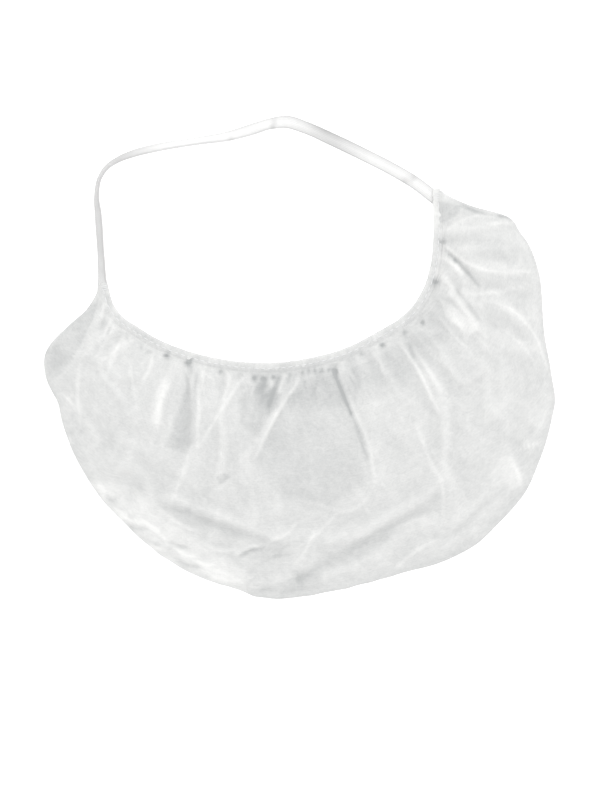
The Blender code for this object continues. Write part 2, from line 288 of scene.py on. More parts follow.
CREASES = table(
    Crease,
    (((0.545, 0.03), (0.552, 0.215), (0.540, 0.415), (0.527, 0.62)), 2.4, 1.8, -0.9),
    (((0.575, 0.06), (0.572, 0.24), (0.560, 0.42), (0.545, 0.58)), 2.6, 5.5, 1.0),
    (((0.460, 0.05), (0.417, 0.205), (0.375, 0.38)), 2.4, 3.2, 2.8),
    (((0.453, 0.02), (0.410, 0.14), (0.385, 0.25)), 3.6, 2.2, -2.4),
    (((0.235, 0.08), (0.262, 0.20), (0.262, 0.48)), 4.5, 4.5, -2.4),
    (((0.275, 0.09), (0.288, 0.25), (0.296, 0.43)), 1.6, 4.5, 2.2),
    (((0.210, 0.11), (0.218, 0.25), (0.233, 0.42)), 3.5, 2.4, 2.2),
    (((0.688, 0.05), (0.682, 0.27), (0.665, 0.44), (0.615, 0.69)), 3.0, 4.0, 2.4),
    (((0.645, 0.015), (0.633, 0.22), (0.620, 0.385)), 2.8, 2.8, -1.9),
    (((0.935, 0.02), (0.880, 0.18), (0.845, 0.42)), 2.6, 3.0, -2.6),
    (((0.900, 0.03), (0.843, 0.24), (0.787, 0.39)), 3.0, 3.0, 2.4),
    (((0.875, 0.34), (0.870, 0.65), (0.868, 0.95)), 3.0, 3.0, 1.5),
    (((0.838, 0.47), (0.825, 0.70), (0.800, 0.94)), 2.5, 3.5, 2.0),
    (((0.850, 0.36), (0.846, 0.60), (0.838, 0.86)), 2.2, 2.2, -1.3),
    (((0.600, 0.77), (0.545, 0.795), (0.503, 0.865), (0.415, 0.935)), 3.2, 2.4, -2.2),
    (((0.598, 0.70), (0.537, 0.745), (0.475, 0.83)), 4.5, 2.4, 2.6),
    (((0.275, 0.755), (0.315, 0.74), (0.362, 0.76)), 2.4, 2.4, -2.0),
    (((0.270, 0.70), (0.315, 0.685), (0.370, 0.70)), 3.0, 2.0, 1.6),
    (((0.357, 0.86), (0.383, 0.80), (0.403, 0.795)), 2.2, 2.2, -1.6),
    (((0.675, 0.915), (0.635, 0.90), (0.578, 0.925)), 2.0, 2.0, -1.4),
    (((0.030, 0.05), (0.083, 0.365), (0.113, 0.50)), 2.6, 2.6, 1.4),
    (((0.070, 0.065), (0.098, 0.24), (0.128, 0.415)), 2.6, 2.6, -1.8),
    (((0.122, 0.05), (0.140, 0.19), (0.163, 0.33)), 2.6, 2.6, 1.4),
    (((0.372, 0.02), (0.345, 0.14), (0.338, 0.38), (0.335, 0.55)), 2.4, 3.2, 1.7),
    (((0.508, 0.02), (0.508, 0.17)), 2.0, 2.0, 1.4),
    (((0.765, 0.05), (0.758, 0.17), (0.750, 0.29)), 2.6, 2.6, -1.8),
    (((0.735, 0.06), (0.725, 0.22), (0.705, 0.40)), 2.4, 3.4, 1.8),
    (((0.810, 0.04), (0.790, 0.20), (0.760, 0.36)), 2.4, 3.0, 1.8),
)

GATHERS = table(
    Gather,
    (0.035, 1.0), (0.070, 0.8), (0.104, 1.0), (0.143, 0.8), (0.201, 1.2), (0.246, 1.6),
    (0.283, 0.6), (0.315, 1.1), (0.351, 1.1), (0.395, 1.2), (0.430, 1.0), (0.471, 1.1),
    (0.515, 0.7), (0.545, 1.5), (0.580, 0.7), (0.615, 1.2), (0.660, 1.4), (0.705, 1.1),
    (0.745, 1.3), (0.790, 1.2), (0.825, 1.2), (0.865, 0.9), (0.903, 1.5), (0.945, 1.0),
)

# Fine folds: lighter where the cloth lies double, with painted shade along the valleys.
FOLD_LINES = table(
    FoldLine,
    (((-3.5, -15.5), (-12.0, -30.0), (-22.0, -49.5)), 0.12, 0.45),
    (((-24.5, -5.5), (-37.0, -23.5), (-49.5, -44.5)), 0.08, 0.3),
    (((-55.0, -48.5), (-59.0, -61.0), (-65.5, -76.5)), 0.07, 0.25),
    (((-91.5, 17.5), (-95.5, 9.5), (-100.5, 0.5)), 0.08, 0.4, 1.0),
    (((-86.5, 13.5), (-91.0, 3.5), (-95.0, -7.5)), 0.06),
    (((-50.0, -10.5), (-50.0, -27.0), (-50.5, -45.0)), 0.09),
    (((-109.0, -2.5), (-110.5, -16.5), (-109.0, -33.5)), 0.07, 0.4, 1.2),
    (((-84.0, -2.5), (-82.0, -16.5), (-80.0, -27.0)), 0.05, 0.3),
    (((-65.5, -11.5), (-69.0, -23.5), (-70.5, -33.5)), 0.16, 0.6, 2.0),
    (((16.5, -6.0), (21.0, -17.5), (25.5, -28.5)), -0.28, -0.45, 0.8),
    (((25.0, -26.5), (30.0, -40.0), (33.5, -51.0)), -0.12, -0.3),
    (((19.0, -5.5), (27.0, -25.5), (34.0, -42.5), (37.5, -62.0)), 0.09, 0.25),
    (((49.5, 7.0), (58.0, -5.5), (65.5, -21.0), (69.0, -28.0)), 0.13, 0.7, 1.1),
    (((55.5, 6.0), (62.0, -4.0), (70.0, -17.5)), 0.06),
    (((58.0, -34.0), (65.5, -53.5), (70.5, -63.0), (71.5, -78.0)), 0.08),
    (((-1.5, -70.5), (11.0, -73.5), (24.0, -76.5), (33.5, -70.5)), 0.06, 0.3),
    (((71.5, 56.5), (85.0, 45.5), (98.5, 42.0), (117.0, 43.0)), 0.09),
    (((72.5, 53.5), (81.5, 44.0), (89.0, 35.0)), -0.16, -0.5),
    (((70.5, 50.0), (78.0, 44.5), (80.5, 41.0)), 0.13, 0.6, 1.3),
    (((74.0, 32.5), (80.5, 24.5), (88.0, 14.5)), 0.12, 0.6, 1.6),
    (((77.0, 34.0), (83.5, 26.0), (89.5, 17.5)), -0.08, -0.4),
    (((82.0, 31.0), (94.5, 32.0), (105.5, 34.0), (117.0, 37.5)), 0.07, 0.25, 1.0),
    (((90.5, 29.0), (106.0, 23.0), (117.0, 11.5), (124.5, -7.5)), 0.07, 0.35),
    (((102.0, 13.5), (113.0, 3.5), (119.0, -7.5)), 0.05, 0.3),
    (((70.0, 61.5), (78.5, 67.0), (88.5, 70.5), (106.0, 68.5)), 0.08),
    (((109.0, -45.5), (114.5, -44.0), (120.0, -43.5)), 0.1),
    (((104.5, -50.0), (108.5, -57.0), (110.5, -64.5)), 0.1, 0.5, 1.4),
    (((49.0, -104.5), (55.5, -98.5), (63.5, -93.0), (69.5, -91.0)), 0.09),
    (((-4.5, -96.5), (6.5, -89.5), (18.0, -78.0)), 0.06, 0.3),
    (((36.0, -91.0), (50.0, -84.0), (62.0, -79.5)), 0.05, 0.5, 1.2),
    (((-90.0, -77.5), (-83.5, -81.5), (-78.0, -82.0)), 0.12, 0.5, 1.0),
    (((-96.5, -70.5), (-94.5, -71.5), (-92.5, -72.5)), -0.09, -0.4),
    (((-69.0, -91.0), (-61.0, -93.5), (-54.5, -95.5)), -0.08, -0.4),
    (((-54.5, -100.5), (-43.5, -106.0), (-32.0, -109.5)), 0.08),
    (((-75.0, -84.0), (-69.0, -88.5), (-65.0, -93.5)), 0.1),
    (((-32.0, -98.5), (-25.5, -94.5), (-18.5, -93.5)), 0.08),
    (((-14.5, -91.0), (-7.0, -88.0), (-1.5, -82.5)), 0.07),
    (((0.0, -100.5), (4.5, -93.0), (8.0, -85.5)), 0.07),
    (((-93.0, -75.0), (-87.0, -77.5), (-82.5, -76.5)), 0.1),
    (((-90.0, -80.5), (-83.0, -85.5), (-76.0, -86.0)), -0.06, -0.3),
    (((-82.0, -90.5), (-74.0, -94.5), (-67.5, -95.0)), 0.1),
    (((-64.0, -98.5), (-56.0, -103.5), (-48.5, -104.5)), -0.06, -0.3),
    (((-70.0, -98.5), (-63.0, -101.5), (-59.0, -105.5)), 0.09),
    (((-44.5, -109.0), (-36.5, -111.5), (-29.5, -111.5)), 0.1),
    (((-101.5, -62.0), (-97.0, -67.0), (-93.0, -68.0)), 0.08),
    (((-118.5, -36.0), (-115.5, -41.0), (-113.5, -47.0)), 0.08),
    (((-120.5, -17.5), (-115.5, -20.5), (-111.5, -26.0)), 0.06, 0.3),
    (((-47.0, -93.0), (-38.5, -96.5), (-31.5, -95.0)), 0.07),
    (((-74.0, -71.0), (-63.0, -80.5), (-49.5, -87.5)), 0.05, 0.3),
    (((80.5, 75.5), (89.5, 72.0), (102.0, 70.0)), -0.08, -0.4),
    (((117.0, -37.0), (121.5, -31.0), (124.0, -23.5)), 0.05, 0.3),
    (((112.5, -52.0), (116.5, -48.5), (119.5, -44.5)), -0.06, -0.3),
    (((69.5, 19.5), (75.5, 11.5), (84.5, 2.5)), 0.07),
    (((84.5, 13.5), (92.5, 6.0), (99.5, 2.5)), 0.06, 0.3),
    (((22.5, -7.5), (26.0, -11.5), (28.5, -17.5)), -0.07, -0.4),
    (((36.0, 2.5), (40.0, -2.5), (42.0, -9.5)), 0.06),
    (((-34.5, -9.5), (-36.5, -17.5), (-38.5, -23.0)), 0.06),
    (((9.0, -8.5), (8.0, -14.5), (6.0, -19.5)), -0.05, -0.3),
    (((-7.0, -8.5), (-9.0, -13.5), (-10.0, -17.5)), 0.1),
    (((-47.0, -4.5), (-48.0, -10.5), (-47.5, -17.5)), 0.07),
    (((-73.0, 0.5), (-74.0, -5.5), (-77.5, -11.5)), 0.08),
    (((-54.5, -5.0), (-51.5, -8.5), (-50.5, -13.5)), -0.12, -0.2, 1.4),
    (((-56.5, -8.5), (-55.0, -13.5), (-56.0, -17.5)), -0.1, -0.2, 1.0),
    (((68.0, 44.0), (72.5, 38.5), (77.0, 32.0)), 0.12, 0.5, 1.6),
    (((-96.0, 30.5), (-97.5, 25.5), (-98.5, 19.5)), 0.09, 0.3),
    (((-93.0, 19.5), (-95.5, 14.5), (-97.5, 8.5)), 0.12, 0.3),
    (((-94.5, 14.5), (-96.0, 10.5), (-98.0, 6.5)), -0.12, -0.3),
    (((-96.5, 23.5), (-97.5, 18.5), (-98.5, 13.5)), -0.08, -0.2, 1.2),
    (((65.5, 83.0), (69.5, 71.0), (70.0, 64.0)), -0.1, -0.2),
    (((80.5, 77.0), (84.5, 74.5), (92.0, 72.0)), -0.12, -0.3, 1.0),
    (((99.5, 70.5), (104.0, 69.5), (105.5, 67.5)), -0.16, -0.3, 1.2),
    (((94.5, 66.0), (99.5, 67.0), (105.5, 67.0)), 0.1, 0.3, 1.0),
    (((-56.0, -75.5), (-55.0, -76.5)), -0.16, -0.2, 1.2),
    (((-29.5, -99.0), (-24.5, -96.0), (-18.5, -94.5)), -0.14, -0.3),
    (((-18.5, -102.0), (-12.0, -99.0), (-4.5, -98.0)), -0.08, -0.25),
    (((-18.5, -8.5), (-21.5, -13.5), (-24.5, -19.5)), 0.08, 0.25),
    (((-15.5, -8.5), (-18.5, -15.5)), -0.1, -0.25),
    (((-12.0, -8.5), (-14.0, -13.5), (-16.5, -17.5)), 0.08, 0.25),
    (((-10.5, -10.5), (-12.5, -16.5), (-15.5, -25.0)), -0.12, -0.25, 1.1),
    (((0.0, -8.5), (-1.5, -13.5), (-4.5, -18.5)), 0.1, 0.25),
    (((-4.5, -7.5), (-6.0, -13.5)), -0.12, -0.25),
    (((26.0, -5.5), (28.0, -9.5), (30.0, -15.5)), -0.08, -0.25, 1.2),
    (((54.0, 6.5), (55.5, 2.5), (56.5, -1.5)), -0.1, -0.25, 1.2),
    (((-97.5, -68.0), (-95.0, -70.5), (-91.0, -71.0)), -0.08, -0.2, 1.2),
    (((-87.0, -84.0), (-81.0, -85.0), (-74.0, -85.5)), -0.07, -0.2, 1.0),
    (((-84.0, -87.5), (-78.0, -91.0), (-71.0, -93.0)), -0.05, -0.2, 1.1),
    (((-72.5, -93.0), (-66.0, -95.0), (-57.0, -94.5)), -0.07, -0.2, 1.1),
    (((-68.0, -98.5), (-61.0, -102.0), (-54.5, -104.5)), -0.06, -0.2, 1.0),
    (((-51.5, -101.5), (-46.5, -103.5), (-41.5, -103.0)), 0.09, 0.3),
    (((-49.5, -105.5), (-42.5, -109.0), (-36.5, -110.5)), 0.07, 0.3),
    (((-95.0, -77.0), (-91.0, -80.0), (-88.0, -80.5)), 0.14, 0.3, 1.0),
    (((-78.0, -81.5), (-73.0, -85.0), (-69.0, -86.0)), 0.1, 0.3, 1.0),
    (((-63.0, -94.5), (-57.0, -98.5), (-51.5, -99.5)), 0.12, 0.3, 1.0),
    (((-96.5, -71.0), (-98.0, -67.0), (-100.0, -64.0)), 0.12, 0.3, 1.2),
)

# Pits beside the hem, darkened by painted shade.
PITS = table(
    Pit,
    (-66.0, 1.0, 1.5, 2.4, 0.32),
    (-55.0, -2.5, 1.7, 2.4, 0.42),
    (-39.0, -7.0, 1.0, 0.8, 0.2),
    (-22.5, -10.5, 1.1, 0.8, 0.26),
    (-18.0, -10.5, 1.0, 0.8, 0.24),
    (-13.0, -10.0, 1.0, 0.8, 0.24),
    (1.5, -7.5, 0.9, 0.4, 0.16),
    (4.5, -7.0, 0.9, 0.4, 0.18),
    (7.5, -6.5, 0.9, 0.4, 0.18),
    (11.0, -6.5, 0.9, 0.4, 0.18),
    (14.5, -6.5, 0.9, 0.4, 0.18),
    (18.0, -7.0, 1.0, 0.8, 0.28),
    (30.5, 1.5, 1.1, 0.8, 0.2),
    (41.0, 6.0, 1.3, 0.8, 0.26),
    (52.0, 12.0, 1.0, 0.4, 0.16),
    (61.0, 17.0, 1.1, 0.8, 0.2),
    (67.5, 37.5, 1.7, 2.4, 0.36),
    (71.5, 57.5, 1.3, 0.8, 0.26),
    (77.0, 48.0, 1.0, 0.4, 0.14),
    (-85.5, 9.0, 1.0, 0.4, 0.12),
    (-78.5, 4.5, 1.0, 0.4, 0.12),
    (-74.0, 2.5, 1.0, 0.4, 0.1),
    (-75.5, 2.5, 1.0, 0.4, 0.1),
)

# Parts lighter or darker: the tone of single or double cloth, and painted light and shade.
PATCHES = table(
    Patch,
    (((-127.5, 2.5), (-124.5, 11.0), (-117.5, 17.5), (-100.0, 29.0), (-103.0, 18.5), (-109.0, 5.5),
      (-117.5, -7.5), (-124.5, -11.5)),
     1.2, -0.09),
    (((-57.0, -18.5), (-50.5, -10.5), (-50.0, -41.0), (-56.0, -47.0), (-66.5, -44.5)),
     3.0, -0.11),
    (((-29.5, -21.0), (-18.5, -10.5), (-9.0, -20.0), (-19.5, -39.5), (-29.5, -33.5)),
     4.0, -0.09),
    (((-16.5, -22.0), (-9.0, -18.0), (-10.5, -25.0), (-15.5, -29.5)),
     2.6, -0.1),
    (((-23.5, -49.5), (-4.5, -17.5), (13.5, -7.5), (18.0, -7.5), (25.0, -26.5), (34.0, -61.0),
      (15.0, -75.0), (-7.0, -71.0)),
     7.0, -0.07),
    (((-41.0, -59.5), (-37.5, -57.0), (-34.0, -59.0), (-39.0, -63.5)),
     1.0, -0.14),
    (((-66.0, -70.5), (-54.5, -72.5), (-42.0, -77.5), (-27.5, -87.5), (-31.5, -91.0), (-47.0, -86.0),
      (-60.0, -81.5), (-66.5, -76.0)),
     4.0, -0.055),
    (((-28.0, -97.5), (-18.5, -95.0), (-7.5, -94.5), (-10.5, -100.0), (-22.0, -100.5)),
     3.0, -0.07),
    (((-22.0, -116.5), (-6.5, -111.0), (4.5, -107.0), (11.0, -107.0), (11.0, -114.0), (-6.5, -117.5)),
     3.0, -0.1),
    (((-4.5, -105.5), (2.5, -107.0), (20.0, -95.5), (42.5, -84.0), (52.5, -81.5), (40.0, -90.5),
      (20.0, -101.0), (-0.5, -110.5)),
     3.5, -0.08),
    (((101.0, -45.0), (105.5, -51.0), (110.0, -65.0), (102.0, -64.0), (89.5, -71.0)),
     7.0, 0.07),
    (((69.5, 28.5), (75.5, 26.0), (88.5, 13.5), (83.5, 10.5), (73.0, 18.5)),
     1.6, 0.1),
    (((-23.0, -9.5), (-10.0, -8.5), (-11.0, -18.5), (-18.5, -20.5)),
     4.0, -0.05),
    (((-99.0, 8.5), (-86.5, 6.0), (-88.0, -19.0), (-100.0, -16.5)),
     3.0, 0.03),
    (((69.5, 78.0), (80.5, 75.5), (78.5, 70.5), (71.0, 67.0)),
     1.0, -0.1),
    (((-105.0, -63.0), (-97.0, -75.0), (-85.5, -85.5), (-76.0, -94.5), (-66.0, -102.0), (-56.0, -108.0),
      (-46.5, -112.5), (-27.0, -118.5), (-27.0, -106.5), (-44.5, -94.5), (-69.0, -76.5), (-89.0, -61.0)),
     6.0, 0.095),
    (((85.0, 60.5), (109.5, 56.5), (108.5, 47.0), (89.5, 49.0)),
     3.0, -0.04),
    (((-27.0, -4.5), (15.0, -4.5), (40.0, 3.5), (62.0, 19.5), (69.5, 35.5), (77.5, 28.5), (70.5, 6.0),
      (50.0, -14.0), (25.0, -22.0), (0.0, -25.0), (-27.0, -19.5)),
     12.0, -0.085),
)


def smooth(keys: Array, rows: Array, at: Array) -> Array:
    """Read the smooth curve through rows of numbers.

    Args:
        keys: The rising key of each row.
        rows: One row of numbers for each key.
        at: The keys to read at.

    Returns:
        One row for each value of at.
    """
    keys, rows, at = np.asarray(keys, float), np.asarray(rows, float), np.asarray(at, float)
    steps = np.diff(keys)
    slopes = np.diff(rows, axis=0) / steps[:, None]
    tangents = np.vstack([slopes[:1], np.zeros_like(rows[1:-1]), slopes[-1:]])
    before, after = steps[:-1, None], steps[1:, None]
    tangents[1:-1] = (slopes[:-1] * after + slopes[1:] * before) / (before + after)
    spot = np.clip(np.searchsorted(keys, at, side="right") - 1, 0, len(keys) - 2)
    step = steps[spot][:, None]
    t = (at - keys[spot])[:, None] / step
    return (
        rows[spot] * (1 + 2 * t) * (1 - t) ** 2
        + rows[spot + 1] * t**2 * (3 - 2 * t)
        + tangents[spot] * step * t * (1 - t) ** 2
        - tangents[spot + 1] * step * t**2 * (1 - t)
    )


def chord_keys(points: Array) -> Array:
    """Rising keys for points, from 0 to 1, in step with the chords between them.

    Args:
        points: The points in order.

    Returns:
        One key for each point.
    """
    chords = np.linalg.norm(np.diff(points, axis=0), axis=1)
    keys = np.concatenate([[0.0], np.cumsum(chords)])
    return keys / keys[-1]


def ramp(value: Array, low: float, high: float) -> Array:
    """0 below low, 1 above high and a smooth rise between."""
    t = np.clip((value - low) / (high - low), 0.0, 1.0)
    return t * t * (3 - 2 * t)


def between(value: Array, start: Pair, end: Pair) -> Array:
    """1 from the end of the first ramp to the start of the second, and 0 outside the two."""
    return ramp(value, *start) * (1 - ramp(value, *end))


def unit(rows: Array) -> Array:
    """The rows scaled to length 1."""
    return rows / np.linalg.norm(rows, axis=1)[:, None]


def bell(value: Array) -> Array:
    """1 at zero, falling off smoothly on both sides."""
    return np.exp(-(value**2))


def rounded(value: Array, power: float) -> Array:
    """A sine or a cosine made fuller by a power below 1, its sign kept."""
    return np.sign(value) * np.abs(value) ** power


@dataclass
class MouthEdge:
    """The mouth's edge in plan and the heights of the hems on it, read by the share along it."""

    width: float = 0.1625
    fall: float = 0.083
    lift_height: float = 0.0135
    hem_width: float = 0.0042
    hem_thickness: float = 0.0016
    strap_thickness: float = 0.001
    seat_gap: float = 0.0003
    setback: float = 0.0035
    place: Pair = (-0.01445, -0.0026)
    left_reach: Pair = (-0.0003, 0.0012)
    right_reach: Pair = (-0.0004, 0.0036)
    reach_share: float = 0.06
    tip_fullness: float = 0.4
    near_tip: Pair = (-0.004, 0.012)
    far_tip: Pair = (0.988, 1.004)
    samples: int = 600
    rows: Array = field(init=False)
    keys: Array = field(init=False)
    length: float = field(init=False)
    stack: float = field(init=False)

    def __post_init__(self) -> None:
        """Lay out the edge's points once."""
        corner = np.array([-self.width / 2, self.fall]) + self.place
        points = np.array([(p.across * self.width, -p.fall * self.fall) for p in MOUTH]) + corner
        rows = np.column_stack([points, [p.lift for p in MOUTH]])
        self.rows = smooth(chord_keys(points), rows, np.linspace(0, 1, self.samples))
        self.keys = chord_keys(self.rows[:, :2])
        self.length = float(np.linalg.norm(np.diff(self.rows[:, :2], axis=0), axis=1).sum())
        self.stack = 2 * self.hem_thickness + self.strap_thickness + 2 * self.seat_gap

    def even(self, along: Array) -> Array:
        """The points of the edge in plan, before its tips are drawn out."""
        return np.column_stack([np.interp(along, self.keys, self.rows[:, i]) for i in (0, 1)])

    def at(self, along: Array) -> Array:
        """The points of the edge in plan, with the two tips drawn out along the strap."""
        left, right = 1 - ramp(along, 0, self.reach_share), ramp(along, 1 - self.reach_share, 1)
        return self.even(along) + left[:, None] * self.left_reach + right[:, None] * self.right_reach

    def inward(self, along: Array) -> Array:
        """Find the way across the edge, into the pouch.

        Args:
            along: Shares along the edge.

        Returns:
            A unit vector in plan for each share.
        """
        step = self.hem_width / 2 / self.length
        ahead = unit(self.at(np.clip(along + step, 0, 1)) - self.at(np.clip(along - step, 0, 1)))
        return np.column_stack([ahead[:, 1], -ahead[:, 0]])

    def lift(self, along: Array) -> Array:
        """How far the front hem is lifted, from 0 at the tips to 1."""
        return np.interp(along, self.keys, self.rows[:, 2])

    def taper(self, along: Array) -> Array:
        """How full the hems are, less at their ends and 1 between."""
        gain = (1 - self.tip_fullness) * ramp(along, *self.near_tip)
        return self.tip_fullness + gain * (1 - ramp(along, *self.far_tip))

    def hem_height(self, along: Array) -> Array:
        """The height of the front hem's middle line."""
        tip = self.stack - self.hem_thickness / 2
        return tip + self.lift(along) * (self.lift_height - tip)

    def inside(self, along: Array, distance: Array, layer: Layer = Layer.FRONT) -> Array:
        """Step from a hem's edge into the pouch.

        Args:
            along: Shares along the edge.
            distance: How far in from the hem's edge, one number or one for each share.
            layer: The hem that is stepped from.

        Returns:
            The points in plan.
        """
        back = self.setback * self.lift(along) if layer is Layer.BACK else 0.0
        offset = np.broadcast_to(distance + back, along.shape)
        return self.at(along) + self.inward(along) * offset[:, None]


@dataclass
class PouchForm:
    """The pouch's outer skin, read by the share across it, from left to right, and the share down it."""

    mouth: MouthEdge
    drop: float = 0.118
    spread: float = 0.061
    loft: float = 0.0165
    wall: float = 0.001
    corner: float = 0.001
    fold_radius: float = 0.0012
    ragged_cell: float = 0.012
    ragged_depth: float = 0.0004
    ragged_from: Pair = (0.08, 0.18)
    ragged_to: Pair = (0.45, 0.60)
    ragged_seed: int = 31
    crown_skew: float = 0.75
    keys: Array = field(init=False)
    rows: Array = field(init=False)
    tab: float = field(init=False)

    def __post_init__(self) -> None:
        """Lay out the pouch's sections once."""
        along = np.array([s.along for s in SECTIONS])
        reach = np.array([(s.spread * self.spread, -s.drop * self.drop) for s in SECTIONS])
        edge = self.mouth.even(along)
        self.keys = (chord_keys(edge) + chord_keys(edge + reach)) / 2
        self.rows = np.column_stack([along, reach, [s.crown for s in SECTIONS]])
        self.tab = self.corner / self.mouth.length

    def lines(self, share: Array, layer: Layer) -> tuple[Array, ...]:
        """Read the lines that run from the hem to the bottom fold.

        Args:
            share: The share across the pouch of each line.
            layer: The layer that the lines lie in.

        Returns:
            The share along the mouth, the start by the hem, the end where the cloth turns under, the
            way outward and the crown, for each line.
        """
        rows = smooth(self.keys, self.rows, share)
        along = np.clip(rows[:, 0], 0, 1)
        fold = self.mouth.even(along) + rows[:, 1:3]
        along = self.tab + along * (1 - 2 * self.tab)
        hem = self.mouth.hem_width + self.mouth.seat_gap
        start = self.mouth.inside(along, hem, layer)
        out = unit(fold - start)
        shift = sum(e.out * bell((share - e.share) / e.reach) for e in EDGE_BULGES) / 1000
        cells = np.column_stack([share / self.ragged_cell, share * 0])
        ragged = lattice_noise(cells, 1.0, self.ragged_seed) * self.ragged_depth
        ragged = ragged * ramp(share, *self.ragged_from) * (1 - ramp(share, *self.ragged_to))
        shift = shift + ragged
        fold = fold + out * shift[:, None]
        return along, start, fold - out * self.fold_radius, out, np.clip(rows[:, 3], 0, 1)

    def plan(self, share: Array, down: Array) -> Array:
        """The front layer's points in plan at each share across and down."""
        _, start, turn, _, _ = self.lines(share, Layer.FRONT)
        return start + (turn - start) * down[:, None]

    def front(self, share: Array, down: Array) -> Array:
        """Read the front layer's outer skin, before its gathers and creases.

        Args:
            share: The share across of each point.
            down: The share down of each point.

        Returns:
            The points.
        """
        along, start, turn, _, crown = self.lines(share, Layer.FRONT)
        low = self.mouth.hem_height(along) + self.wall / 2
        height = low + (2 * self.fold_radius - low) * down
        height += crown * self.loft * np.sin(math.pi * down**self.crown_skew)
        return np.column_stack([start + (turn - start) * down[:, None], height])

    def turned(self, share: Array, turn_share: Array) -> Array:
        """Read the skin where the cloth turns under.

        Args:
            share: The share across of each point.
            turn_share: How far round each point is, from 0 on top to 1 below.

        Returns:
            The points.
        """
        _, _, turn, out, _ = self.lines(share, Layer.FRONT)
        angle, radius = math.pi * turn_share, self.fold_radius
        spots = turn + out * (radius * np.sin(angle))[:, None]
        return np.column_stack([spots, radius * (1 + np.cos(angle))])

    def back(self, share: Array, down: Array) -> Array:
        """The back layer's outer skin, on the floor."""
        _, start, turn, _, _ = self.lines(share, Layer.BACK)
        return np.column_stack([start + (turn - start) * down[:, None], np.zeros(len(share))])


class Wave:
    """A number that varies over a surface, open to arithmetic: each operator adds its Math node."""

    def __init__(self, graph: "Graph", socket: Socket) -> None:
        """Keep the socket that gives the number and the graph that it is in."""
        self.graph = graph
        self.socket = socket

    def _joined(self, operation: str, first: Any, second: Any) -> "Wave":
        """Add one Math node on two values."""
        made = self.graph.node("ShaderNodeMath", {"operation": operation}, {0: first, 1: second})
        return Wave(self.graph, made.outputs[0])

    def __add__(self, other: Any) -> "Wave":
        """self + other."""
        return self._joined("ADD", self, other)

    def __sub__(self, other: Any) -> "Wave":
        """self - other."""
        return self._joined("SUBTRACT", self, other)

    def __rsub__(self, other: Any) -> "Wave":
        """other - self."""
        return self._joined("SUBTRACT", other, self)

    def __mul__(self, other: Any) -> "Wave":
        """self * other."""
        return self._joined("MULTIPLY", self, other)

    __radd__, __rmul__ = __add__, __mul__

    def cosine(self) -> "Wave":
        """The cosine of the number, in radians."""
        return self._joined("COSINE", self, 0.0)

    def step(self, low: float, high: float) -> "Wave":
        """Step smoothly from 0 to 1.

        Args:
            low: The number up to which it is 0.
            high: The number from which it is 1.

        Returns:
            The step.
        """
        settings = {"interpolation_type": "SMOOTHSTEP"}
        made = self.graph.node("ShaderNodeMapRange", settings, {0: self, 1: low, 2: high})
        return Wave(self.graph, made.outputs[0])


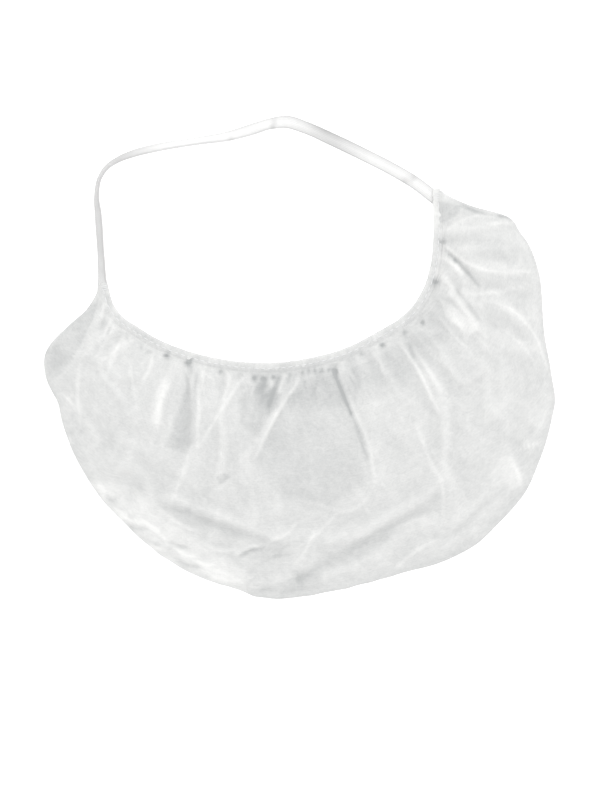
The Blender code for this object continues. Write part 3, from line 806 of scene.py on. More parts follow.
class Graph:
    """The node tree of one material."""

    def __init__(self, name: str) -> None:
        """Start from a material with its Principled shader.

        Args:
            name: The material's name.
        """
        self.material = bpy.data.materials.new(name)
        self.material.use_nodes = True
        self.tree = self.material.node_tree
        self.shader = self.tree.nodes["Principled BSDF"]

    def node(self, kind: str, settings: dict[str, Any], inputs: dict[Any, Any]) -> bpy.types.Node:
        """Add a node.

        Args:
            kind: The node's type.
            settings: Its own properties, set first.
            inputs: A value, a Wave or a socket for each input that is used.

        Returns:
            The node.
        """
        made = self.tree.nodes.new(kind)
        for key, value in settings.items():
            setattr(made, key, value)
        for key, value in inputs.items():
            self.feed(made.inputs[key], value)
        return made

    def feed(self, socket: Socket, value: Any) -> None:
        """Link an input, or set it.

        Args:
            socket: The input.
            value: A Wave or a socket to link, or a plain value.
        """
        source = value.socket if isinstance(value, Wave) else value
        if isinstance(source, Socket):
            self.tree.links.new(source, socket)
        else:
            socket.default_value = source

    def cloth_point(self) -> Socket:
        """The place on the cloth, in metres along its own map."""
        return self.node("ShaderNodeUVMap", {"uv_map": CLOTH_MAP}, {}).outputs[0]

    def axes(self, point: Socket) -> tuple[Wave, Wave]:
        """The two numbers of a point on the cloth."""
        parts = self.node("ShaderNodeSeparateXYZ", {}, {0: point}).outputs
        return Wave(self, parts[0]), Wave(self, parts[1])

    def turned(self, point: Socket, degrees: float, scale: Pair) -> Socket:
        """Turn a point and scale it along its two ways."""
        values = {"Rotation": (0, 0, math.radians(degrees)), "Scale": (*scale, 1.0), "Vector": point}
        return self.node("ShaderNodeMapping", {}, values).outputs[0]

    def noise(
        self, point: Socket, scale: float, detail: float, roughness: float, bend: float = 0.0
    ) -> Wave:
        """Fractal noise at a point.

        Args:
            point: The socket of the point.
            scale: Grains in each unit of the point.
            detail: How many finer octaves are added.
            roughness: How strong the finer octaves are.
            bend: How far the noise bends itself.

        Returns:
            The noise, about 0.5 on average.
        """
        values = {"Vector": point, "Scale": scale, "Detail": detail}
        values |= {"Roughness": roughness, "Distortion": bend}
        return Wave(self, self.node("ShaderNodeTexNoise", {}, values).outputs[0])

    def attribute(self, name: str) -> Wave:
        """A number kept on the mesh."""
        return Wave(self, self.node("ShaderNodeAttribute", {"attribute_name": name}, {}).outputs["Fac"])

    def mixed(self, share: Wave, low: Colour, high: Colour) -> Socket:
        """Mix two colours.

        Args:
            share: 0 for the first colour, 1 for the second.
            low: The first colour.
            high: The second colour.

        Returns:
            The mixed colour.
        """
        settings = {"data_type": "RGBA", "clamp_factor": True}
        made = self.node("ShaderNodeMix", settings, {0: share, 6: (*low, 1.0), 7: (*high, 1.0)})
        return made.outputs[2]

    def bump(self, height: Wave, distance: float, strength: float) -> Socket:
        """A normal from a height."""
        values = {"Height": height, "Distance": distance, "Strength": strength}
        return self.node("ShaderNodeBump", {}, values).outputs[0]

    def finish(self, colour: Socket, roughness: Any, normal: Socket, **fixed: Any) -> bpy.types.Material:
        """Feed the Principled shader.

        Args:
            colour: The base colour's socket.
            roughness: A Wave or a number.
            normal: The normal's socket.
            fixed: Plain values of other inputs, their names with _ for a space.

        Returns:
            The material.
        """
        self.feed(self.shader.inputs["Base Color"], colour)
        self.feed(self.shader.inputs["Roughness"], roughness)
        self.feed(self.shader.inputs["Normal"], normal)
        for key, value in fixed.items():
            self.shader.inputs[key.replace("_", " ").title().replace("Ior", "IOR")].default_value = value
        return self.material


@dataclass(frozen=True)
class NonwovenFinish:
    """Thin spunbonded cloth: a random web of fine fibres, pressed together at small bond points."""

    name: str
    # thin and dense: the ends of the cloth's tone, along which the painted light and shade also move the
    # colour
    thin: Colour = (0.434, 0.445, 0.446)
    dense: Colour = (0.88, 0.88, 0.868)
    fullness: float = 0.585
    bond_pitch: float = 0.0023  # between bond points, in m
    fibre_turns: tuple[float, ...] = (18.0, 77.0, 134.0)
    fibre_scale: float = 1500.0
    fibre_stretch: Pair = (0.16, 1.0)
    clump_scale: float = 330.0
    cloud_scale: float = 62.0
    tone_and_painted_light_contrast: float = 2.0
    roughness: float = 0.82
    bump_height: float = 0.00016
    bump_strength: float = 0.6

    def material(self) -> bpy.types.Material:
        """Build the cloth's material.

        Returns:
            The material.
        """
        graph = Graph(self.name)
        point = graph.cloth_point()
        across, down = graph.axes(point)
        cloud = graph.noise(point, self.cloud_scale, 3.0, 0.55, 0.4)
        clump = graph.noise(point, self.clump_scale, 4.0, 0.62, 0.6)
        web: Any = 0.0
        for turn in self.fibre_turns:
            along = graph.turned(point, turn, self.fibre_stretch)
            streak = graph.noise(along, self.fibre_scale, 2.0, 0.6, 1.2)
            web = web + streak * (1 / len(self.fibre_turns))
        turns = 2 * math.pi / self.bond_pitch
        dots = (across * turns).cosine() * (down * turns).cosine()
        bonds = dots.step(0.45, 0.95)
        # Painted light and shade from the mesh, with the denser tone where the cloth lies double, move
        # the colour between thin and dense.
        fold = graph.attribute(TONE_AND_PAINTED_LIGHT)
        weight = (cloud - 0.5) * 0.3 + (clump - 0.5) * 0.4 + (web - 0.5) * 0.6 + self.fullness
        weight = weight - bonds * 0.05 + (fold - PLAIN_LIGHT) * self.tone_and_painted_light_contrast
        colour = graph.mixed(weight, self.thin, self.dense)
        relief = web * 0.5 + clump * 0.9 + cloud * 0.6 - bonds * 0.22
        normal = graph.bump(relief, self.bump_height, self.bump_strength)
        roughness = self.roughness - bonds * 0.2
        fixed = {"sheen_weight": 0.25, "sheen_roughness": 0.4, "specular_ior_level": 0.3}
        return graph.finish(colour, roughness, normal, **fixed)


@dataclass(frozen=True)
class ElasticFinish:
    """Flat knitted elastic: lengthwise ribs crossed by fine rows of yarn."""

    name: str
    # The dark end of the mix: the ribs' grooves, also reached where painted shade darkens the strap.
    groove: Colour = (0.42, 0.42, 0.42)
    yarn: Colour = (0.96, 0.96, 0.955)
    rib_pitch: float = 0.00079
    row_pitch: float = 0.00062
    fullness: float = 0.86
    painted_shade_contrast: float = 1.3
    bump_height: float = 0.00016

    def material(self) -> bpy.types.Material:
        """Build the elastic's material.

        Returns:
            The material.
        """
        graph = Graph(self.name)
        point = graph.cloth_point()
        along, across = graph.axes(point)
        rib = (across * (2 * math.pi / self.rib_pitch)).cosine() * 0.5 + 0.5
        shift = (across * (math.pi / self.rib_pitch)).cosine() * 0.8
        row = (along * (2 * math.pi / self.row_pitch) + shift).cosine() * 0.5 + 0.5
        fuzz = graph.noise(point, 2600.0, 3.0, 0.6)
        drift = graph.noise(point, 90.0, 2.0, 0.5)
        light = rib * 0.12 + row * 0.06 + (fuzz - 0.5) * 0.2 + (drift - 0.5) * 0.2 + self.fullness
        # Painted shade from the mesh: the strap's edges, its steep stretches and its twists.
        light = light + (graph.attribute(TONE_AND_PAINTED_LIGHT) - PLAIN_LIGHT) * self.painted_shade_contrast
        colour = graph.mixed(light, self.groove, self.yarn)
        normal = graph.bump(rib * 0.7 + row * 0.3 + fuzz * 0.2, self.bump_height, 0.9)
        fixed = {"sheen_weight": 0.2, "sheen_roughness": 0.35, "specular_ior_level": 0.45}
        return graph.finish(colour, 0.55 + fuzz * 0.12, normal, **fixed)


@dataclass(frozen=True)
class ThreadFinish:
    """Spun sewing thread with its twist."""

    name: str
    shade: Colour = (0.70, 0.71, 0.72)
    light: Colour = (0.93, 0.93, 0.93)
    twist_pitch: float = 0.0005

    def material(self) -> bpy.types.Material:
        """Build the thread's material.

        Returns:
            The material.
        """
        graph = Graph(self.name)
        point = graph.cloth_point()
        along, around = graph.axes(point)
        twist = ((along + around * 0.6) * (2 * math.pi / self.twist_pitch)).cosine() * 0.5 + 0.5
        fuzz = graph.noise(point, 5000.0, 2.0, 0.6)
        colour = graph.mixed(twist * 0.7 + fuzz * 0.3, self.shade, self.light)
        return graph.finish(colour, 0.5 + fuzz * 0.1, graph.bump(twist, 0.00005, 0.8))


@dataclass(frozen=True)
class FloorFinish:
    """A plain pale floor with the faintest grain."""

    name: str = "floor_white"
    shade: Colour = (0.90, 0.90, 0.90)
    light: Colour = (0.94, 0.94, 0.94)
    glow: float = 0.45

    def material(self) -> bpy.types.Material:
        """Build the floor's material.

        Returns:
            The material.
        """
        graph = Graph(self.name)
        point = graph.node("ShaderNodeTexCoord", {}, {}).outputs["Object"]
        grain = graph.noise(point, 40.0, 3.0, 0.5)
        colour = graph.mixed(grain, self.shade, self.light)
        fixed = {"specular_ior_level": 0.2, "emission_color": (1.0,) * 4, "emission_strength": self.glow}
        return graph.finish(colour, 0.9, graph.bump(grain, 0.0002, 0.1), **fixed)


def flat_grid(columns: int, rows: int) -> tuple[bmesh.types.BMesh, Array, Array]:
    """Start a flat grid, its first row at the top.

    Args:
        columns: How many faces it has across.
        rows: How many faces it has down.

    Returns:
        The grid, and the row and the column of each vertex.
    """
    bm = bmesh.new()
    bmesh.ops.create_grid(bm, x_segments=columns, y_segments=rows, size=0.5)
    bm.verts.index_update()
    spots = np.array([vert.co[:2] for vert in bm.verts])
    row = np.rint((0.5 - spots[:, 1]) * rows).astype(int)
    column = np.rint((spots[:, 0] + 0.5) * columns).astype(int)
    return bm, row, column


def in_scene(name: str, data: bpy.types.ID) -> Piece:
    """Put a mesh, a light or a camera into the scene.

    Args:
        name: The object's name.
        data: The mesh, the light or the camera.

    Returns:
        The object.
    """
    made = bpy.data.objects.new(name, data)
    bpy.context.scene.collection.objects.link(made)
    return made


def mesh_of(name: str, bm: bmesh.types.BMesh) -> bpy.types.Mesh:
    """Turn a bmesh into a mesh and free it.

    Args:
        name: The mesh's name.
        bm: The bmesh, which is freed.

    Returns:
        The mesh.
    """
    mesh = bpy.data.meshes.new(name)
    bm.to_mesh(mesh)
    bm.free()
    return mesh


def level_square(name: str, half: float, height: float) -> Piece:
    """Lay out a level square.

    Args:
        name: Its name.
        half: Half its side.
        height: Its height.

    Returns:
        The square.
    """
    bm = bmesh.new()
    bmesh.ops.create_grid(bm, x_segments=1, y_segments=1, size=half)
    bmesh.ops.translate(bm, verts=bm.verts, vec=(0, 0, height))
    return in_scene(name, mesh_of(name, bm))


def made_object(name: str, bm: bmesh.types.BMesh, material: bpy.types.Material) -> Piece:
    """Turn a bmesh into a smooth piece of the cover.

    Args:
        name: The piece's name.
        bm: Its mesh, which is freed.
        material: Its finish.

    Returns:
        The piece, riding on the cover's one body.
    """
    mesh = mesh_of(name, bm)
    mesh.shade_smooth()
    mesh.materials.append(material)
    piece = in_scene(name, mesh)
    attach(piece, BODY)
    return piece


def placed(bm: bmesh.types.BMesh, spots: Array, cloth: Array, light: Array) -> None:
    """Move a grid's vertices onto a surface and map the cloth's own metres.

    Args:
        bm: The grid, its vertices in their first order.
        spots: The place of each vertex.
        cloth: The place on the flat cloth of each vertex.
        light: How light the cloth is at each vertex, painted light and shade included, 0.5 where it lies
            plain.
    """
    layer = bm.loops.layers.uv.new(CLOTH_MAP)
    lights = bm.verts.layers.float.new(TONE_AND_PAINTED_LIGHT)
    for vert, spot, value in zip(bm.verts, spots, light):
        vert.co = spot
        vert[lights] = value
    for face in bm.faces:
        for loop in face.loops:
            loop[layer].uv = cloth[loop.vert.index]


def in_order(bm: bmesh.types.BMesh) -> None:
    """Sort the faces by their corners, since the sphere tool orders them in another way each run.

    Args:
        bm: The mesh, all its corners in place.
    """
    bm.verts.index_update()
    number = len(bm.verts)

    def key(face: bmesh.types.BMFace) -> int:
        """A number made of the face's three lowest corners."""
        low, middle, high = sorted(vert.index for vert in face.verts)[:3]
        return (low * number + middle) * number + high

    bm.faces.sort(key=key)


def closed(bm: bmesh.types.BMesh) -> None:
    """Join a rolled grid along its seam, close its two ends and turn its faces outward.

    Args:
        bm: The rolled grid.
    """
    bmesh.ops.remove_doubles(bm, verts=bm.verts, dist=1e-7)
    open_edges = [edge for edge in bm.edges if edge.is_boundary]
    bmesh.ops.holes_fill(bm, edges=open_edges, sides=0)
    bmesh.ops.recalc_face_normals(bm, faces=bm.faces)


def lattice_noise(points: Array, cell: float, seed: int) -> Array:
    """Read a smooth random field over a plane.

    Args:
        points: Places on the plane, two numbers each.
        cell: The size of the field's grains.
        seed: Which field.

    Returns:
        A number from -1 to 1 for each place.
    """
    table = np.random.default_rng(seed).uniform(-1, 1, (64, 64))
    base = np.floor(points / cell).astype(int)
    t = points / cell - base
    t = t * t * (3 - 2 * t)
    x, y = base[..., 0] % 64, base[..., 1] % 64
    right, above = (x + 1) % 64, (y + 1) % 64
    low = table[x, y] * (1 - t[..., 0]) + table[right, y] * t[..., 0]
    high = table[x, above] * (1 - t[..., 0]) + table[right, above] * t[..., 0]
    return low * (1 - t[..., 1]) + high * t[..., 1]


def crumple(points: Array, cell: float, seed: int) -> Array:
    """Read a field of sharp little ridges.

    Args:
        points: Places on the cloth.
        cell: The distance between ridges.
        seed: Which field.

    Returns:
        A number from about -0.5 in the hollows to 0.5 on the ridges, for each place.
    """
    bend = [lattice_noise(points, cell * 1.9, seed + i) for i in (1, 2)]
    bent = points + np.stack(bend, axis=-1) * cell * 0.5
    return 0.5 - np.abs(lattice_noise(bent, cell, seed)) * 2.2


def blurred(grid: Array, rows: float, columns: float) -> Array:
    """Soften a grid of numbers.

    Args:
        grid: The numbers, by row and column.
        rows: The reach along a column, in rows.
        columns: The reach along a row, in columns.

    Returns:
        The softened grid.
    """
    for axis, spread in ((0, rows), (1, columns)):
        reach = int(3 * spread)
        weights = np.exp(-0.5 * (np.arange(-reach, reach + 1) / spread) ** 2)
        size = grid.shape[axis]
        room = [(reach, reach) if a == axis else (0, 0) for a in range(grid.ndim)]
        wide = np.pad(grid, room, mode="edge")
        parts = (w * np.take(wide, np.arange(i, i + size), axis=axis) for i, w in enumerate(weights))
        grid = sum(parts) / weights.sum()
    return grid


def resampled(grid: Array, keys: tuple[Array, Array], at: tuple[Array, Array]) -> Array:
    """Read a grid of points between its rows and columns.

    Args:
        grid: The points, by row and column.
        keys: The key of each row and of each column.
        at: The row keys and the column keys to read at.

    Returns:
        The new grid of points.
    """
    rows, columns, size = grid.shape
    tall = smooth(keys[0], grid.reshape(rows, -1), at[0]).reshape(len(at[0]), columns, size)
    wide = smooth(keys[1], tall.transpose(1, 0, 2).reshape(columns, -1), at[1])
    return wide.reshape(len(at[1]), len(at[0]), size).transpose(1, 0, 2)


def curve(path: Array, pieces: int) -> Array:
    """Points along the smooth curve through a path."""
    return smooth(chord_keys(path), path, np.linspace(0, 1, pieces))


def beside(spots: Array, line: Array) -> tuple[Array, Array, Array]:
    """Measure places against a line.

    Args:
        spots: Places in plan.
        line: The line's points.

    Returns:
        The distance of each place from the line, which side it is on, and how far its nearest point is
        from the line's ends, from 0 at an end to 1 in the middle.
    """
    nearest = np.full(len(spots), 1.0)
    side, place = np.zeros(len(spots)), np.zeros(len(spots))
    for i, (start, end) in enumerate(zip(line, line[1:])):
        way = end - start
        t = np.clip((spots - start) @ way / (way @ way), 0, 1)
        off = spots - start - t[:, None] * way
        distance = np.linalg.norm(off, axis=1)
        closer = distance < nearest
        nearest = np.where(closer, distance, nearest)
        side = np.where(closer, way[0] * off[:, 1] - way[1] * off[:, 0], side)
        place = np.where(closer, (i + t) / (len(line) - 1), place)
    return nearest, side, np.sqrt(np.clip(4 * place * (1 - place), 0, 1))


def within(spots: Array, corners: Array) -> Array:
    """Measure how far places lie inside a closed outline.

    Args:
        spots: Places in plan.
        corners: The outline's corners in order.

    Returns:
        The distance of each place from the outline, below zero outside.
    """
    ring = np.vstack([corners, corners[:1]])
    distance = beside(spots, ring)[0]
    inside = np.zeros(len(spots), bool)
    x, y = spots[:, 0], spots[:, 1]
    for (x0, y0), (x1, y1) in zip(ring, ring[1:]):
        crossed = (y0 > y) != (y1 > y)
        inside ^= crossed & (x < (x1 - x0) * (y - y0) / (y1 - y0 + 1e-12) + x0)
    return np.where(inside, distance, -distance)


@dataclass
class GatherField:
    """The little pleats that the gathered hem draws into the cloth beside it."""

    mouth: MouthEdge
    depth: float = 0.0015
    pit_width: float = 0.0028
    pit_reach: float = 0.014
    ridge_width: float = 0.0024
    fine_depth: float = 0.00055
    fine_cell: float = 0.0019
    fine_reach: float = 0.009
    fine_stretch: float = 0.12
    spreads: tuple[float, ...] = (0.045, 0.03, 0.06)  # runs that double pits, ridges and fine pleats
    ridge_fades: Pair = (0.012, 0.04)
    ridge_heights: Pair = (0.6, 1.1)
    eases: Pair = (0.004, 0.0015)  # runs from the hem over which the pleats and the fine ones come in
    seed: int = 7

    def at(self, along: Array, run: Array) -> Array:
        """Read how far the pleats lift the cloth.

        Args:
            along: Shares along the mouth.
            run: Distances from the hem, one for each share.

        Returns:
            The lift of each point, below zero in a pit.
        """
        rng = np.random.default_rng(self.seed)
        lift = np.zeros(run.shape)
        for pit in GATHERS:
            width = self.pit_width * (1 + run / self.spreads[0])
            fade = np.exp(-run / (self.pit_reach * pit.depth))
            lift -= pit.depth * bell((along - pit.along) * self.mouth.length / width) * fade
        for pit, following in zip(GATHERS, GATHERS[1:]):
            width = self.ridge_width * (1 + run / self.spreads[1])
            fade = np.exp(-run / rng.uniform(*self.ridge_fades)) * rng.uniform(*self.ridge_heights)
            middle = (pit.along + following.along) / 2
            lift += bell((along - middle) * self.mouth.length / width) * fade
        plain = along * self.mouth.length / (1 + run / self.spreads[2])
        fine = np.stack([plain, run * self.fine_stretch], axis=-1)
        pleats = lattice_noise(fine, self.fine_cell, self.seed + 1) * np.exp(-run / self.fine_reach)
        near, nearer = (ramp(run, 0, ease) for ease in self.eases)
        return lift * near * self.depth + pleats * nearer * self.fine_depth


@dataclass
class CreaseField:
    """The longer folds that the pouch keeps from its packing."""

    form: PouchForm
    pieces: int = 24
    end_share: float = 0.35

    def at(self, spots: Array) -> Array:
        """Read how far the folds lift the cloth.

        Args:
            spots: Places in plan.

        Returns:
            The lift of each place, in millimetres.
        """
        lift = np.zeros(len(spots))
        for crease in CREASES:
            bends = curve(np.array(crease.path), self.pieces)
            distance, side, place = beside(spots, self.form.plan(bends[:, 0], bends[:, 1]))
            width = np.where(side > 0, crease.right, crease.left) / 1000
            full = self.end_share + (1 - self.end_share) * place
            lift += crease.height * bell(distance / width) * full
        return lift


@dataclass
class FineFolds:
    """The fine fold lines and pits of the front layer, its single or double parts, and their painted
    light and shade.
    """

    lines: tuple[FoldLine, ...] = (*FOLD_LINES, *(pit.line() for pit in PITS))
    patches: tuple[Patch, ...] = PATCHES
    pieces: int = 16
    end_share: float = 0.4

    def at(self, spots: Array) -> tuple[Array, Array]:
        """Read the lines and the patches.

        Args:
            spots: Places in plan.

        Returns:
            The lift of each place, in millimetres, and how much lighter the cloth is there, painted
            light and shade included.
        """
        lift, light = np.zeros(len(spots)), np.zeros(len(spots))
        for line in self.lines:
            distance, _, place = beside(spots, curve(np.array(line.path) / 1000, self.pieces))
            full = self.end_share + (1 - self.end_share) * place
            strength = bell(distance / (line.width / 1000)) * full
            lift += line.height * strength
            light += line.light * strength
        for patch in self.patches:
            inside = within(spots, np.array(patch.corners) / 1000)
            light += patch.light * ramp(inside, -patch.soft / 2000, patch.soft / 2000)
        return lift, light


@dataclass
class ClothSettling:
    """A run of cloth simulation that lets the gathered front layer fall into its own folds."""

    scale: float = 10.0
    frames: int = 40
    quality: int = 8
    mass: float = 0.1
    stretch: float = 30.0
    shear: float = 5.0
    bending: float = 2.0
    gravity: float = 0.25
    slack_hold: float = 0.03
    growth: float = 0.06
    growth_reach: float = 0.6  # the share down over which the growth fades
    damping: float = 5.0
    bending_damping: float = 0.5
    air_damping: float = 2.0
    gap: float = 0.004  # kept to the floor, at the simulation's scale
    next_hold: float = 0.6  # on the rows beside the held ones
    floor_height: float = 0.0012

    def run(self, start: Array, downs: Array) -> Array:
        """Let the cloth settle, held along its hem, its bottom fold and its two ends.

        Args:
            start: The cloth's points before, by row and column.
            downs: How far down the pouch each row is, from 0 to 1.

        Returns:
            The points after.
        """
        rows, columns = start.shape[0] - 1, start.shape[1] - 1
        bm, row, column = flat_grid(columns, rows)
        mesh = mesh_of("settling", bm)
        mesh.vertices.foreach_set("co", (start[row, column] * self.scale).ravel())
        cloth = in_scene("settling", mesh)
        floor = self.floor()
        edge = np.minimum(column, columns - column)
        hold = np.full(len(row), self.slack_hold)
        hold[(row == 1) | (row == rows - 1)] = self.next_hold
        hold[(row == 0) | (row == rows) | (edge <= 1)] = 1.0
        self.weigh(cloth, "held", hold)
        self.weigh(cloth, "grown", np.clip(1 - downs[row] / self.growth_reach, 0, 1))
        self.dress(cloth)
        scene = bpy.context.scene
        for number in range(1, self.frames + 1):
            scene.frame_set(number)
        settled = cloth.evaluated_get(bpy.context.evaluated_depsgraph_get()).to_mesh()
        spots = np.zeros(len(row) * 3)
        settled.vertices.foreach_get("co", spots)
        result = np.zeros_like(start)
        result[row, column] = spots.reshape(-1, 3) / self.scale
        for piece in (cloth, floor):
            bpy.data.objects.remove(piece, do_unlink=True)
        scene.frame_set(1)
        return result

    def weigh(self, cloth: Piece, name: str, weights: Array) -> None:
        """Add a vertex group.

        Args:
            cloth: The cloth.
            name: The group's name.
            weights: A weight for each vertex.
        """
        group = cloth.vertex_groups.new(name=name)
        for number, weight in enumerate(weights):
            group.add([number], float(weight), "REPLACE")

    def floor(self) -> Piece:
        """Lay out the surface that the cloth falls on.

        Returns:
            The surface.
        """
        made = level_square("settling_floor", 3.0, self.floor_height * self.scale)
        made.modifiers.new("hit", "COLLISION")
        made.collision.thickness_outer = self.gap
        return made

    def dress(self, cloth: Piece) -> None:
        """Give the cloth its simulation, with growth beside the hem, where the gathers take it up.

        Args:
            cloth: The cloth, with its two vertex groups.
        """
        modifier = cloth.modifiers.new("cloth", "CLOTH")
        settings = modifier.settings
        settings.quality = self.quality
        settings.mass = self.mass
        settings.tension_stiffness = settings.compression_stiffness = self.stretch
        settings.shear_stiffness = self.shear
        settings.bending_stiffness = self.bending
        settings.tension_damping = settings.compression_damping = settings.shear_damping = self.damping
        settings.bending_damping = self.bending_damping
        settings.air_damping = self.air_damping
        settings.vertex_group_mass = "held"
        settings.pin_stiffness = 1.0
        settings.vertex_group_shrink = "grown"
        settings.shrink_min = -self.growth / 4
        settings.shrink_max = -self.growth
        settings.effector_weights.gravity = self.gravity
        modifier.collision_settings.distance_min = self.gap
        modifier.collision_settings.collision_quality = 2
        modifier.point_cache.frame_start = 1
        modifier.point_cache.frame_end = self.frames + 1


@dataclass
class ClothPouch:
    """The pouch: one sheet of cloth from the front hem, round the bottom fold, to the back hem."""

    mouth: MouthEdge
    form: PouchForm
    finish: NonwovenFinish
    settling: ClothSettling = field(default_factory=ClothSettling)
    flat_size: Pair = (FLAT_LENGTH, 0.250)
    flat_area: float = 0.085
    thickness: float = 0.0004
    columns: int = 300
    front_rows: int = 130
    turn_rows: int = 7
    back_rows: int = 12
    run_columns: int = 200
    run_rows: int = 80
    row_skew: float = 1.2
    crease_share: float = 0.5
    fine: FineFolds = field(default_factory=FineFolds)
    kept_form: float = 0.85
    free_from: Pair = (0.0, 0.05)
    free_to: Pair = (0.93, 1.0)
    end_ease: Pair = (0.02, 0.4)
    settled_blur: Pair = (1.0, 1.3)
    form_blur: Pair = (7.0, 9.0)
    ripple: float = 0.0003
    ripple_cell: float = 0.02
    ripple_end: float = 0.95  # the share down from which the back layer lies even
    ripple_seed: int = 41
    crumples: tuple[Pair, ...] = ((0.016, 0.0004), (0.008, 0.0003))
    crumple_seeds: tuple[int, ...] = (20, 25)
    crumple_stretch: Pair = (1.0, 0.4)
    edge_cells: Pair = (0.0065, 0.004)
    edge_height: float = 0.0003
    edge_across: tuple[Pair, Pair] = ((0.10, 0.18), (0.44, 0.56))
    edge_down: tuple[Pair, Pair] = ((0.74, 0.88), (0.98, 1.0))
    edge_stretch: Pair = (1.0, 0.6)
    edge_seed: int = 60
    near_blur: float = 3.0
    # painted light on the cloth's ridges and painted shade in its hollows, at most this much
    fold_shade: float = 0.06
    fold_relief: float = 0.0008  # the height above or below the cloth near it at which a fold's painted light and shade are full
    settled_share: float = 0.6
    end_heights: Pair = (0.0022, 0.0009)
    end_columns: float = 2.0
    end_down: float = 0.3  # the share down over which the ends come together
    hem_depths: tuple[float, ...] = (0.50, 0.66, 0.76, 0.87, 0.97)
    hem_rises: tuple[float, ...] = (0.00025, 0.00040, 0.00068, 0.00070, 0.00060)
    back_depths: Pair = (0.85, 0.55)
    back_rise: float = 0.3  # of the hem's thickness

    def laid(self, share: Array, downs: Array) -> tuple[Array, Array]:
        """Lay the front layer out with its gathers and folds, before it settles.

        Args:
            share: The share across of each column.
            downs: The share down of each row.

        Returns:
            The points, and how free the cloth is at each.
        """
        grid = self.rows_of(self.form.front, share, downs)
        along, _, _, _, crown = self.form.lines(share, Layer.FRONT)
        run = self.runs(grid)
        ease = np.broadcast_to(ramp(crown, *self.end_ease), run.shape)
        free = ease * between(downs, self.free_from, self.free_to)[:, None]
        wide = np.broadcast_to(along, run.shape)
        grid[:, :, 2] += GatherField(self.mouth).at(wide, run) * ease
        creases = CreaseField(self.form).at(grid[:, :, :2].reshape(-1, 2)).reshape(run.shape)
        grid[:, :, 2] += self.crease_share * creases / 1000 * free
        return grid, free

    def front_layer(self) -> tuple[Array, Array]:
        """Work out the front layer, settled, folded and crumpled.

        Returns:
            Its points by row and column, and how much lighter each is, painted light and shade included.
        """
        share = np.linspace(0, 1, self.run_columns + 1)
        downs = np.linspace(0, 1, self.run_rows + 1) ** self.row_skew
        start, free = self.laid(share, downs)
        settled = self.settling.run(start, downs)
        settled = start + blurred(settled - start, *self.settled_blur) * self.settled_share
        lost = blurred((start - settled) * free[:, :, None], *self.form_blur)
        settled = settled + lost * free[:, :, None] * self.kept_form
        across = np.linspace(0, 1, self.columns + 1)
        down = np.linspace(0, 1, self.front_rows + 1) ** self.row_skew
        grid = resampled(settled, (downs, share), (down, across))
        free = resampled(free[:, :, None], (downs, share), (down, across))[:, :, 0]
        fine, light = self.fine.at(grid[:, :, :2].reshape(-1, 2))
        grid[:, :, 2] += fine.reshape(free.shape) / 1000 * free
        cloth = np.stack([np.broadcast_to(across * self.flat_size[0], free.shape), self.runs(grid)], -1)
        for (cell, height), seed in zip(self.crumples, self.crumple_seeds):
            grid[:, :, 2] += crumple(cloth * self.crumple_stretch, cell, seed) * height * free
        grid[:, :, 2] += self.edge_crumple(cloth, across, down)
        grid[:, :, 2] = np.maximum(grid[:, :, 2], self.settling.floor_height)
        grid[:, :, 2] = self.pinched(grid[:, :, 2], down)
        # Painted light on ridges and painted shade in hollows, from each point's height over the cloth
        # around it.
        near = blurred(grid[:, :, 2:3], self.near_blur, self.near_blur)[:, :, 0]
        ridge = np.clip((grid[:, :, 2] - near) / self.fold_relief, -1, 1) * self.fold_shade
        return grid, light.reshape(free.shape) + ridge

    def edge_crumple(self, cloth: Array, across: Array, down: Array) -> Array:
        """Read how far the small crumples near one side of the bottom fold lift the cloth.

        Args:
            cloth: Places on the cloth, by row and column.
            across: The share across of each column.
            down: The share down of each row.

        Returns:
            The lift of each point.
        """
        near = between(across, *self.edge_across)
        low = between(down, *self.edge_down)
        wide = cloth * self.edge_stretch
        small = sum(crumple(wide, cell, self.edge_seed + i) for i, cell in enumerate(self.edge_cells))
        return small * self.edge_height * low[:, None] * near

    def pinched(self, heights: Array, down: Array) -> Array:
        """Bring the two layers together at the left and the right end of the sheet.

        Args:
            heights: The height of each point, by row and column.
            down: The share down of each row.

        Returns:
            The new heights.
        """
        column = np.arange(self.columns + 1)
        for near, low in zip((column, self.columns - column), self.end_heights):
            share = (1 - ramp(near, 0, self.end_columns)) * ramp(down, 0, self.end_down)[:, None]
            heights = heights + (np.minimum(heights, low) - heights) * share
        return heights

    def rows_of(self, skin: Callable[..., Array], share: Array, downs: Array) -> Array:
        """A row of the skin's points for each share down, a column for each share across."""
        return np.array([skin(share, np.full(len(share), down)) for down in downs])

    def runs(self, grid: Array) -> Array:
        """How far each point is along its column."""
        steps = np.linalg.norm(np.diff(grid, axis=0), axis=2)
        return np.vstack([np.zeros((1, grid.shape[1])), np.cumsum(steps, axis=0)])

    def tucked(self, along: Array, layer: Layer, depths: tuple[float, ...]) -> Array:
        """Rows of the cloth inside a hem.

        Args:
            along: The share along the mouth of each column.
            layer: The hem.
            depths: How far across the hem each row is, from 0 at the mouth's edge to 1.

        Returns:
            The rows of points.
        """
        front = self.mouth.hem_height(along)
        back = np.full(len(along), self.mouth.hem_thickness * self.back_rise)
        rows = []
        for depth in depths:
            rise = np.interp(depth, self.hem_depths, self.hem_rises) * self.mouth.taper(along)
            height = front + rise if layer is Layer.FRONT else back
            plan = self.mouth.inside(along, depth * self.mouth.hem_width, layer)
            rows.append(np.column_stack([plan, height]))
        return np.array(rows)

